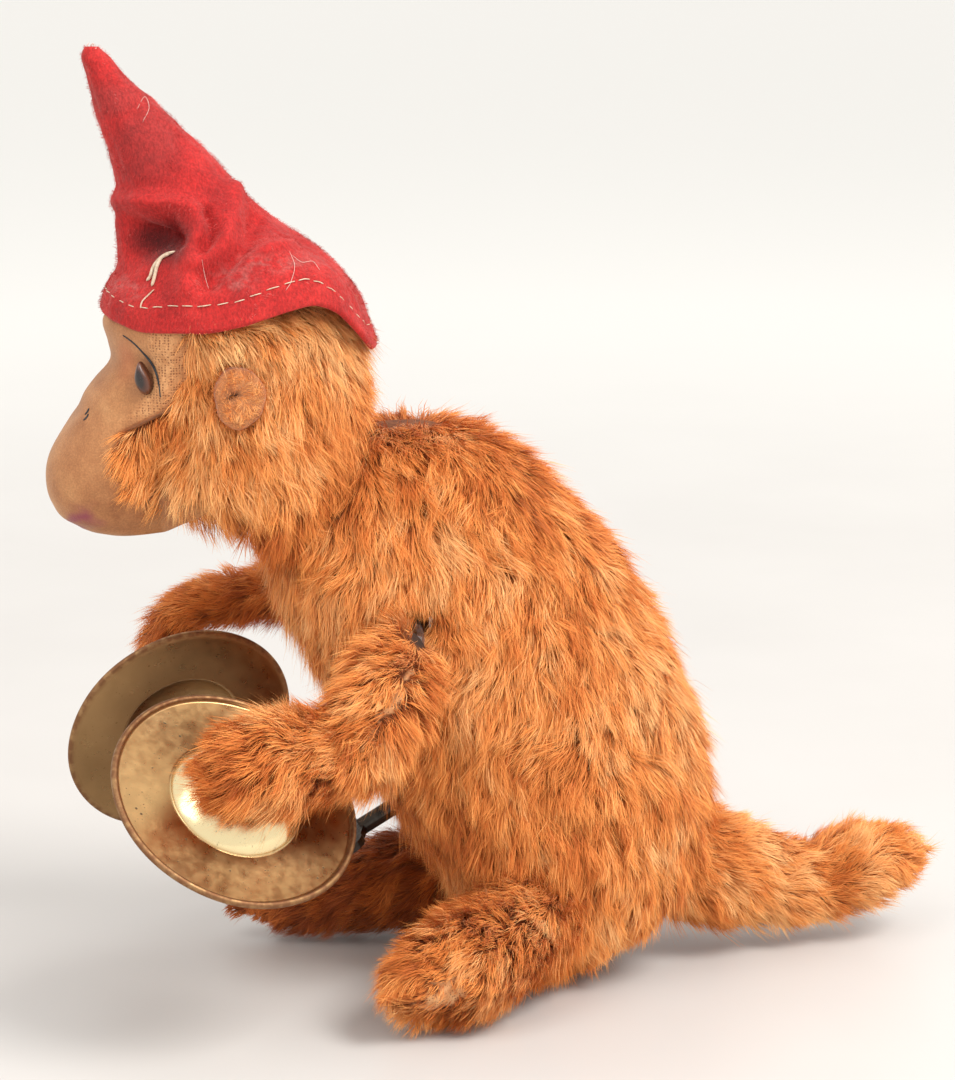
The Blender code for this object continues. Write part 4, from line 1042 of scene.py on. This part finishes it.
def make_eyes():
    """Almond glass eyes, pointed at the top, sunk in the cloth."""
    glass = glass_eye()
    for side, word in ((1, "left"), (-1, "right")):
        rows, cols = 40, 64
        climb = np.linspace(-math.pi / 2, math.pi / 2, rows)[:, None]
        turn = full_turn(cols)[None, :] * side
        level = np.cos(climb)
        ball = np.stack([level * np.cos(turn), level * np.sin(turn), np.sin(climb) + 0 * turn], -1)
        lens = np.hypot(ball[..., 1], ball[..., 2])
        narrow = 1 - 0.50 * smoothstep(-0.3, 1.0, ball[..., 2])
        angle = math.radians(EYE_TURN)
        out = np.array([math.cos(angle) * side, -math.sin(angle), 0.0])
        along = np.array([math.sin(angle) * side, math.cos(angle), 0.0])
        lean = np.array([0, -0.16, 1.0])
        points = np.array([EYE[0] * side, EYE[1], EYE[2]]) + ball[..., :1] * EYE_SIZE[0] * out
        points = points + (ball[..., 1] * narrow)[..., None] * EYE_SIZE[1] * along
        points = points + ball[..., 2:] * EYE_SIZE[2] * lean
        mesh = grid_mesh(f"{word}_glass_eye", points, values={"lens": lens})
        settle(new_object(f"{word}_glass_eye", mesh), glass, "body", [f"{word}_eye"])


def drawn_line(name, points, radius, material):
    """An inked line on the face: a round curve through points in millimetres, thin at both ends."""
    data = bpy.data.curves.new(name, "CURVE")
    data.dimensions = "3D"
    data.bevel_depth = radius * MM
    data.bevel_resolution = 2
    data.resolution_u = 4
    data.use_fill_caps = True
    spline = data.splines.new("NURBS")
    spline.points.add(len(points) - 1)
    for k, (target, point) in enumerate(zip(spline.points, points)):
        target.co = (*[c * MM for c in point], 1)
        target.radius = 0.35 + 0.65 * math.sin(math.pi * (k + 0.35) / (len(points) - 0.3))
    spline.order_u = min(4, len(points))
    spline.use_endpoint_u = True
    return settle(new_object(name, data), material, "body")


def on_face(z, degrees, lift=0.0):
    """A point on the shaped face cloth."""
    turn = np.array([math.radians(degrees)])
    point = head_point(np.array([float(z)]), turn)
    point[..., 2] += jaw_lift(point[..., 2], turn)
    return shape_face(point)[0] + unit(np.array([point[0, 0], point[0, 1] - HEAD_Y, 0.0])) * lift


def face_angle(y, z):
    """The turn, in degrees, at which the head's left side passes a given Y at height z."""
    turns = np.radians(np.linspace(2, 80, 400))
    line = head_point(z + 0 * turns, turns)
    return math.degrees(turns[np.abs(line[:, 1] - y).argmin()])


def make_face_lines():
    """Inked brows, and a nostril of two short strokes on each side."""
    ink = plain_cloth("ink", (0.012, 0.014, 0.018), (0.05, 0.055, 0.06), 1200, 0.0)
    arc = [(z, face_angle(y, z)) for y, z in BROW]
    for side, word in ((1, "left"), (-1, "right")):
        points = [on_face(z, turn * side, 0.10) for z, turn in arc]
        drawn_line(f"{word}_brow_line", points, 0.24, ink)
        for k, (z, turn) in enumerate([(122.6, 11.5), (121.6, 12.6)]):
            nostril = [on_face(z + 0.6, turn * side, 0.02), on_face(z, (turn + 0.5) * side, 0.05),
                       on_face(z - 0.6, (turn - 0.6) * side, 0.02)]
            drawn_line(f"{word}_nostril_{k + 1}", nostril, 0.28, ink)


def ear_flow(p):
    """Brushed out from the middle of the ear."""
    return p - (0, EAR[1], EAR[2])


def ear_look(p):
    return 0.72 + 0.06 * waves(p, 5, 57)


def make_ears():
    """Oval felt ears, each gathered to a small pucker off its middle."""
    felt = ear_felt()
    rows, cols = 40, 96
    share = np.linspace(0, 1, rows)[:, None]
    turn = full_turn(cols)[None, :]
    wobble = 1 + 0.035 * np.sin(3 * turn + 1) + 0.02 * np.sin(7 * turn)
    across, up = EAR_SIZE[0] * share * wobble * np.cos(turn), EAR_SIZE[1] * share * wobble * np.sin(turn)
    from_pucker = np.hypot(across + EAR_PUCKER[0], up - EAR_PUCKER[1])
    spoke = np.arctan2(up - EAR_PUCKER[1], across + EAR_PUCKER[0])
    gather = np.clip(np.cos(2 * spoke - 0.9) + 0.3 * np.cos(5 * spoke), 0, 1) ** 2
    gather = gather * np.exp(-(from_pucker / 1.7) ** 2)
    stitch = np.exp(-(from_pucker / 0.8) ** 2)
    height = 1.35 * np.sqrt(np.maximum(1 - share**5, 0)) - 0.75 * stitch - 0.55 * gather
    height = height + 0.14 * np.sin(5 * spoke + 1) * np.exp(-(from_pucker / 3.0) ** 2)
    pucker = np.clip(stitch + gather, 0, 1)
    for side, word in ((1, "left"), (-1, "right")):
        grid = np.stack([side * (EAR[0] - 0.6 + height), EAR[1] + across, EAR[2] + up], -1)
        base = grid[-1:].copy()
        base[..., 0] -= side * 1.8
        grid = np.concatenate([grid, base])[:: 1 if side < 0 else -1]
        values = np.concatenate([pucker, pucker[-1:] * 0])[:: 1 if side < 0 else -1]
        mesh = grid_mesh(f"{word}_ear_disc", grid, side > 0, side < 0, values={"pucker": values})
        settle(new_object(f"{word}_ear_disc", mesh), felt, "body", [f"{word}_ear"])
        pelt(f"{word}_ear_fuzz", grid, ear_flow, ear_look, 420 + side, length=1.3, lift=30, spacing=0.9,
             width=0.06, pinch=0.2)


def cap_grid(rows=150, cols=200):
    """The cap as a smooth leaning cone of felt."""
    run = np.concatenate([[0], np.cumsum(np.hypot(np.diff(CAP[:, 0]), np.diff(CAP[:, 1])))])
    at = np.linspace(0, run[-1], rows)
    ring = curve(run, CAP, at)
    turn = full_turn(cols)
    side = np.cos(turn)[None, :]
    ahead = -np.sin(turn)[None, :]
    grid = np.empty((rows, cols, 3))
    grid[..., 0] = ring[:, 3:4] * side
    along = -ring[:, 2:3] * ahead
    grid[..., 1] = ring[:, 0:1] + along
    grid[..., 2] = ring[:, 1:2] + along * ring[:, 4:5]
    return grid


def brim_height(y):
    """Height of the cap's edge along the head: low over the brow, up over the ear, low again at the nape."""
    return curve([p[0] for p in BRIM], [p[1] for p in BRIM], y)


def fold(grid, line, reach, height):
    """A ridge, or a valley where the height is negative, along a line of Y and Z on the cap's side."""
    gap = gap_to(grid[..., 1:], smooth_line(line, 60))
    return height * np.exp(-((gap / reach) ** 2))


def crumple(grid, normals):
    """The buckle in the cap's front, with a roll over a deep hollow, and the pulls running back from it."""
    push = np.zeros(grid.shape[:2])
    facing_back = smoothstep(-0.1, 0.5, normals[..., 1])
    for side, weight in ((1, 1.0), (-1, 0.8)):
        across = grid[..., 0] * side
        behind = smoothstep(1, 8, across)
        for line, reach, height in CAP_FOLDS:
            ahead = smoothstep(-4, 5, across) if height > 0 else smoothstep(2, 9, across)
            push += weight * (ahead + (behind - ahead) * facing_back) * fold(grid, line, reach, height)
    push += 0.9 * near_spot(grid, (0, -88, 146.3), (14, 6, 2.6))
    push += 0.9 * near_spot(grid, (0, -85, 154.5), (8, 7, 4.5))
    push += 0.22 * waves(grid, 14, 31) * smoothstep(139, 150, grid[..., 2])
    push += 0.09 * waves(grid, 4, 32)
    return grid + normals * push[..., None]


def make_cap():
    """The crumpled felt cap, open below, with a rounded lip and a thin fuzz."""
    outer = cap_grid()
    normals = grid_normals(outer)
    outer = crumple(outer, normals)
    wavy = 0.22 * waves(outer[:1] * (1, 1, 0), 18, 41)[0]
    shift = brim_height(outer[0, :, 1]) + wavy - outer[0, :, 2]
    reach = np.linspace(0, 1, len(outer))[:, None] / 0.42
    outer[..., 2] += shift[None, :] * (1 - smoothstep(0, 1, reach)) ** 1.5
    inner = outer - grid_normals(outer) * CAP_WALL
    lip = []
    for k in range(1, 5):
        a = math.pi * k / 5
        row = (outer[0] + inner[0]) / 2 - (outer[0] - inner[0]) / 2 * math.cos(a)
        row[:, 2] -= 0.55 * math.sin(a)
        lip.append(row)
    grid = np.concatenate([inner[::-1][-int(len(inner) * 0.97):], np.array(lip), outer])
    mesh = grid_mesh("felt_cap", grid, low_cap=True, high_cap=True)
    settle(new_object("felt_cap", mesh), cap_felt(), "body", ["cap"])
    fuzz = grow("felt_fuzz", outer, felt_flow, felt_look, 400, length=0.8, lift=42, spacing=1.0, width=0.045,
                pinch=0.1, density=FUR_DENSITY * 0.45)
    wool = felt_fibre()
    for piece in fuzz:
        settle(piece, wool, "body")
    make_cap_trim(outer)


def felt_flow(p):
    """The felt's loose fibres lie every way, mostly down and back."""
    return np.array([0.3, 0.5, -0.6]) + 0.9 * np.stack([waves(p, 9, seed) for seed in (91, 92, 93)], -1)


def felt_look(p):
    return np.full(len(p), 0.5)


def felt_fibre():
    m = Nodes("felt_fibre", Roughness=0.9)
    m.colour(m.ramp(m.value("tone"), (0.1, (0.40, 0.014, 0.014)), (0.7, (0.58, 0.05, 0.045)),
                    (1.0, (0.80, 0.30, 0.26))))
    return m.material


def make_cap_trim(outer):
    """Running stitch round the hem, a knotted thread, threads at the tip and a few loose hairs."""
    thread = plain_cloth("cream_thread", (0.50, 0.36, 0.24), (0.80, 0.66, 0.50), 1500, 0.1)
    normals = grid_normals(outer)
    rng = np.random.default_rng(71)
    ring, ring_out = along_hem(outer, normals, 4.3)
    length = run_along(np.vstack([ring, ring[:1]]))
    made = []
    at = 0.0
    while at < length[-1] - 2.8:
        long = rng.uniform(2.2, 2.9)
        points = []
        for k, s in enumerate(np.interp([at, at + long / 2, at + long], length, np.arange(len(length)))):
            i = int(s) % len(ring)
            j = (i + 1) % len(ring)
            f = s - int(s)
            base = ring[i] * (1 - f) + ring[j] * f
            base = base + np.array([0, 0, 0.35 * math.sin(at * 0.21) + 0.25 * math.sin(at * 0.083 + 1)])
            points.append(base + ring_out[i] * (0.10 if k == 1 else -0.06))
        made.append(points)
        at += long + rng.uniform(0.7, 1.2)
    stitch_mesh("hem_stitches", made, 0.11, thread)
    stitch_mesh("knot_threads", [on_cap(outer, normals, line, 0.35) for line in KNOT_THREADS], 0.36, thread)
    stitch_mesh("hanging_thread", [on_cap(outer, normals, HANGING_THREAD, 0.2)], 0.16, thread)
    hair = plain_cloth("pale_hair", (0.55, 0.40, 0.34), (0.80, 0.68, 0.60), 1500, 0.0)
    stitch_mesh("loose_hairs", [on_cap(outer, normals, line, 0.35) for line in LOOSE_HAIRS], 0.04, hair)
    tip = outer[-1].mean(0)
    curls = []
    for _ in range(16):
        way = unit(rng.normal(size=3) + (0.9, -0.2, 0.3))
        over = unit(np.cross(way, rng.normal(size=3)))
        long = rng.uniform(0.9, 2.0)
        start = tip - (0, 0, 0.9)
        curls.append([tip - (0, 0, 1.4) + way * 0.8, start + way * (0.8 + long * 0.4) + over * 0.3,
                      start + way * (0.7 + long * 0.5) + over * (0.3 + long * 0.5)])
    stitch_mesh("tip_threads", curls, 0.09, hair)


def along_hem(outer, normals, away):
    """The line that keeps an even distance from the cap's edge, and the cap's normals along it."""
    steps = np.linalg.norm(np.diff(outer, axis=0), axis=-1)
    run = np.concatenate([np.zeros((1, outer.shape[1])), np.cumsum(steps, axis=0)])
    line, out = [], []
    for c in range(outer.shape[1]):
        line.append([np.interp(away, run[:, c], outer[:, c, k]) for k in range(3)])
        out.append(normals[np.searchsorted(run[:, c], away), c])
    return np.array(line), np.array(out)


def on_cap(outer, normals, line, lift):
    """Points given by Y and Z laid on the cap's left side."""
    left = outer[..., 0] > 0
    flat, out = outer[left], normals[left]
    found = []
    for y, z in line:
        i = np.hypot(flat[:, 1] - y, flat[:, 2] - z).argmin()
        found.append(flat[i] + out[i] * lift)
    return found


def stitch_mesh(name, lines, radius, material, sides=7):
    """Short round threads on the cap as one mesh."""
    points, loops, sizes = [], [], []
    for line in lines:
        line = np.array(line, float)
        run = np.linspace(0, len(line) - 1, len(line) * 4)
        smooth = curve(np.arange(len(line)), line, run)
        way = unit(np.gradient(smooth, axis=0))
        up = np.array([0.0, 0.0, 1.0]) if abs(way[:, 2]).max() < 0.9 else np.array([1.0, 0.0, 0.0])
        side = unit(np.cross(way, up))
        top = np.cross(side, way)
        turn = full_turn(sides)
        thick = radius * np.sqrt(np.clip(1 - np.abs(run / run[-1] * 2 - 1) ** 6, 0.05, 1))
        ring = side[:, None] * np.cos(turn)[None, :, None] + top[:, None] * np.sin(turn)[None, :, None]
        grid = smooth[:, None] + ring * thick[:, None, None]
        base = sum(len(p) for p in points)
        points.append(grid.reshape(-1, 3))
        rows = len(smooth)
        r, c = np.meshgrid(np.arange(rows - 1), np.arange(sides), indexing="ij")
        after = (c + 1) % sides
        quads = np.stack([r * sides + c, (r + 1) * sides + c, (r + 1) * sides + after, r * sides + after], -1)
        loops.append(quads.reshape(-1) + base)
        sizes.append(np.full(r.size, 4))
        ends = [np.arange(sides) + base, (np.arange(sides)[::-1] + base + (rows - 1) * sides)]
        loops += ends
        sizes.append(np.array([sides, sides]))
    mesh = fast_mesh(name, np.concatenate(points), np.concatenate(loops), np.concatenate(sizes))
    return settle(new_object(name, mesh), material, "body")


def limb_flow(route):
    """Combed along a limb towards its end, and a little down."""
    route = np.array(route, float)[:, :3]
    middles, ways = (route[1:] + route[:-1]) / 2, unit(np.diff(route, axis=0))

    def flow(p):
        gap = np.linalg.norm(p[:, None] - middles[None], axis=-1)
        share = np.exp(-((gap - gap.min(1, keepdims=True)) / 3.5))
        way = unit(share @ ways)
        way[:, 2] -= 0.15
        return way
    return flow


def limb(name, route, body, nodes, look, seed, inset=SKIN_INSET, bald=None, **more):
    """A stuffed limb that rides one body."""
    grid = tube_grid(route, inset)
    values = {"bald": bald(grid.reshape(-1, 3)).reshape(grid.shape[:2])} if bald else None
    skin(f"{name}_skin", grid, body, nodes, values)
    pelt(f"{name}_fur", grid, limb_flow(route), look, seed, body, **{"length": 5.8, "lift": 26.0, **more})


def worn_end(route, reach=13.0, share=0.45):
    """Pile rubbed short towards a limb's end."""
    end = np.array(route[-1][:3], float)

    def long_at(p):
        return 1 - share * smoothstep(reach, reach * 0.35, np.linalg.norm(p - end, axis=-1))
    return long_at


def arm_seam_bald(p):
    """Worn open along the upper arm's seam."""
    return 0.85 * smoothstep(1.7, 0.4, gap_to(p, smooth_line(ARM_SEAM, 40)) + 0.6 * waves(p, 3, 61))


def foot_bald(p):
    """Worn open on the sole, raggedly."""
    away = np.linalg.norm((p - FOOT_PATCH) / (1, 1, 1.1), axis=-1)
    return 0.85 * smoothstep(6.4, 2.8, away + 1.2 * waves(p, 4, 62))


def foot_long(p):
    """Pile worn short and matted round the sole's worn patch."""
    return 1 - 0.62 * smoothstep(11, 4, np.linalg.norm(p - FOOT_PATCH, axis=-1))


def parted_flow(route, line):
    """Combed along the limb and away from a seam on both sides of it."""
    along = limb_flow(route)
    seam = smooth_line(line, 40)

    def flow(p):
        gap = np.linalg.norm(p[:, None] - seam, axis=-1)
        away = p - seam[gap.argmin(1)]
        return along(p) + 1.1 * unit(away) * smoothstep(13, 2, gap.min(1))[:, None]
    return flow


def thinned(bald, seed):
    """Keeps fewer strands the balder the place."""
    def keep(p):
        return np.random.default_rng(seed).random(len(p)) > bald(p) * 0.97
    return keep


def paw_long(p):
    """Longer, hanging pile under the left paw."""
    return 1 + 0.45 * smoothstep(62, 53, p[:, 2]) * smoothstep(-50, -60, p[:, 1])


def everywhere(p):
    return np.ones(len(p), bool)


def shade_of(value, spread=0.05):
    """A tone that wanders a little about one value."""
    return lambda p: value + spread * waves(p, 18, 3)


def make_limbs():
    """Legs, tail, forearms and upper arms, each with its own wear, combing and tone, the tone set lower on
    the far right limbs as painted shade.
    """
    keep_foot = thinned(foot_bald, 71)
    # The tones are painted light and shade: low on the far right leg, forearm and sleeve, high on the lit
    # tail and left limbs.
    limb("left_leg", LEFT_LEG, "body", ["left_leg"], shade_of(0.57, 0.08), 300, bald=foot_bald,
         keep=lambda p: keep_foot(p) & (p[:, 2] > 0.6), lift=34, long_at=foot_long)
    limb("right_leg", RIGHT_LEG, "body", ["right_leg"], shade_of(0.14), 310, keep=lambda p: p[:, 2] > 0.4,
         length=5.2, long_at=worn_end(RIGHT_LEG))
    limb("tail", TAIL, "body", ["tail"], shade_of(0.73, 0.08), 320, length=5.4,
         long_at=worn_end(TAIL, 12, 0.2))
    limb("left_forearm", LEFT_FOREARM, "left_arm", ["left_forearm_cover"], shade_of(0.63, 0.09), 330, lift=34,
         length=6.2, long_at=paw_long)
    limb("right_forearm", RIGHT_FOREARM, "right_arm", ["right_forearm_cover"], shade_of(0.46), 340,
         length=5.0, long_at=worn_end(RIGHT_FOREARM, 13, 0.1), inset=3.8)
    make_sleeve("left", LEFT_SLEEVE, SKIN_INSET, 0.64, 350, parted_flow(LEFT_SLEEVE, ARM_SEAM), 38,
                arm_seam_bald)
    make_sleeve("right", RIGHT_SLEEVE, 3.4, 0.38, 360, limb_flow(RIGHT_SLEEVE), 24)


def make_sleeve(word, route, inset, tone, seed, flow, lift, bald=None):
    """The upper arm's cover, a tube along its route from where the arm leaves the body."""
    grid = tube_grid(route, inset)
    flat = grid.reshape(-1, 3)
    # painted shade for the dark inside of the shoulder slit
    values = {"slit_shade": (0.9 * smoothstep(0.2, 0.5, slit_at(flat))).reshape(grid.shape[:2])}
    if bald:
        values["bald"] = bald(flat).reshape(grid.shape[:2])
    mesh = grid_mesh(f"{word}_sleeve_skin", grid, True, True, values=values)
    base = new_object(f"{word}_sleeve_skin", mesh)
    base.data.materials.append(GROUND)
    thin = thinned(bald, 72) if bald else everywhere
    furs = grow(f"{word}_sleeve_fur", grid, flow, shade_of(tone, 0.08), seed,
                keep=lambda p: thin(p) & (slit_at(p) < 0.4), length=6.0, lift=lift)
    for fur in furs:
        fur.data.materials.append(FUR)
    for piece in [base] + furs:
        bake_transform(piece)
    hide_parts(f"{word}_upper_sleeve")


def dome_rise(r):
    """How far the dome stands up at a radius."""
    return DOME_HEIGHT * (1 - (r / DOME_RADIUS) ** 2) ** 0.8


def bow_dip(r):
    """How far the bow sinks at a radius between the dome and the rim."""
    return 0.25 * math.sin(math.pi * ((r - DOME_RADIUS) / (CYMBAL_RADIUS - DOME_RADIUS)))


def cymbal_profile():
    """Radius and height of each point, from the middle of the outside round the rim to the inside."""
    dome, bow, rim = OUTSIDE_STEPS
    out = []
    for t in np.linspace(0, 1, dome):
        r = DOME_RADIUS * math.sin(t * math.pi / 2)
        out.append((r, 0.35 + dome_rise(r)))
    for r in np.linspace(DOME_RADIUS + 0.5, CYMBAL_RADIUS - 1.3, bow):
        out.append((r, 0.35 - bow_dip(r)))
    for t in np.linspace(0.15, 1, rim):
        a = math.pi * t
        out.append((CYMBAL_RADIUS - 0.65 - 0.65 * math.cos(a), 0.45 + 0.65 * math.sin(a)))
    out.append((CYMBAL_RADIUS, 0.1))
    out.append((CYMBAL_RADIUS - 0.3, -0.2))
    for r in np.linspace(CYMBAL_RADIUS - 1.4, DOME_RADIUS, 22):
        out.append((r, -0.2 - bow_dip(r)))
    for t in np.linspace(0.97, 0, 22):
        r = (DOME_RADIUS - 0.4) * math.sin(t * math.pi / 2)
        out.append((r, -0.2 + dome_rise(r)))
    return np.array(out)


def make_cymbals():
    """A spun plate for each arm, marked for its dome, rim, inside and handled middle."""
    tin = brassed_tin()
    pin = metal("stud_steel", (0.20, 0.19, 0.18), (0.42, 0.40, 0.38), 0.35)
    profile = cymbal_profile()
    cols = 192
    turn = full_turn(cols)
    for word, (place, normal) in (("left", LEFT_CYMBAL), ("right", RIGHT_CYMBAL)):
        axis = unit(np.array(normal, float))
        side = unit(np.cross(axis, (0.0, 0.0, 1.0)))
        top = np.cross(axis, side)
        wobble = 1 + 0.0025 * np.sin(3 * turn + 0.5) + 0.0015 * np.sin(7 * turn)
        ring = side[None, :] * np.cos(turn)[:, None] + top[None, :] * np.sin(turn)[:, None]
        grid = np.array(place) + axis * profile[:, 1][:, None, None]
        grid = grid + ring[None] * (np.maximum(profile[:, 0], 0.02)[:, None] * wobble[None, :])[..., None]
        r = profile[:, 0]
        last_outside = sum(OUTSIDE_STEPS) + 1
        inside = (np.arange(len(r)) > last_outside).astype(float)
        dome = smoothstep(DOME_RADIUS + 0.8, DOME_RADIUS - 0.8, r) * (1 - inside)
        rim = smoothstep(CYMBAL_RADIUS - 1.9, CYMBAL_RADIUS - 0.9, r)
        handled = smoothstep(20, 8, r) * (1 - inside)
        marks = {"inside": inside, "dome": dome, "rim": rim, "handled": handled}
        values = {key: np.repeat(mark[::-1, None], cols, axis=1) for key, mark in marks.items()}
        mesh = grid_mesh(f"{word}_cymbal_plate", grid[::-1], values=values)
        plate = new_object(f"{word}_cymbal_plate", mesh)
        settle(plate, tin, f"{word}_cymbal_body", [f"{word}_cymbal"])
        NODES[f"{word}_cymbal_stud"].material_slots[0].material = pin


def make_works():
    """Better finishes on the tin, steel and brass of the works."""
    tin = metal("tin_plate", (0.42, 0.42, 0.40), (0.62, 0.62, 0.60), 0.38, 260)
    steel = metal("spring_steel", (0.16, 0.18, 0.22), (0.34, 0.35, 0.38), 0.34, 300)
    wire = metal("steel_wire", (0.26, 0.25, 0.24), (0.46, 0.45, 0.44), 0.38, 400)
    brass = metal("brass", (0.58, 0.38, 0.14), (0.80, 0.58, 0.26), 0.30, 300, (0.20, 0.12, 0.05))
    dark = metal("blackened_steel", (0.035, 0.032, 0.03), (0.10, 0.09, 0.075), 0.42, 260, (0.12, 0.06, 0.03))
    stuffing = plain_cloth("wood_wool", (0.40, 0.29, 0.15), (0.66, 0.52, 0.32), 500)
    finishes = {
        "tin_plate": tin, "spring_steel": steel, "steel_wire": wire, "brass": brass, "stuffing": stuffing,
    }
    for node in NODES.values():
        if node.hide_render:
            continue
        for place in node.material_slots:
            kind = place.material.name.split(".")[0] if place.material else ""
            place.material = finishes.get(kind, place.material if kind == "stud_steel" else wire)
    for place in NODES["key"].material_slots:
        place.material = dark


def main():
    build_stage()
    make_body()
    make_head()
    make_cap()
    make_limbs()
    make_cymbals()
    make_works()


main()
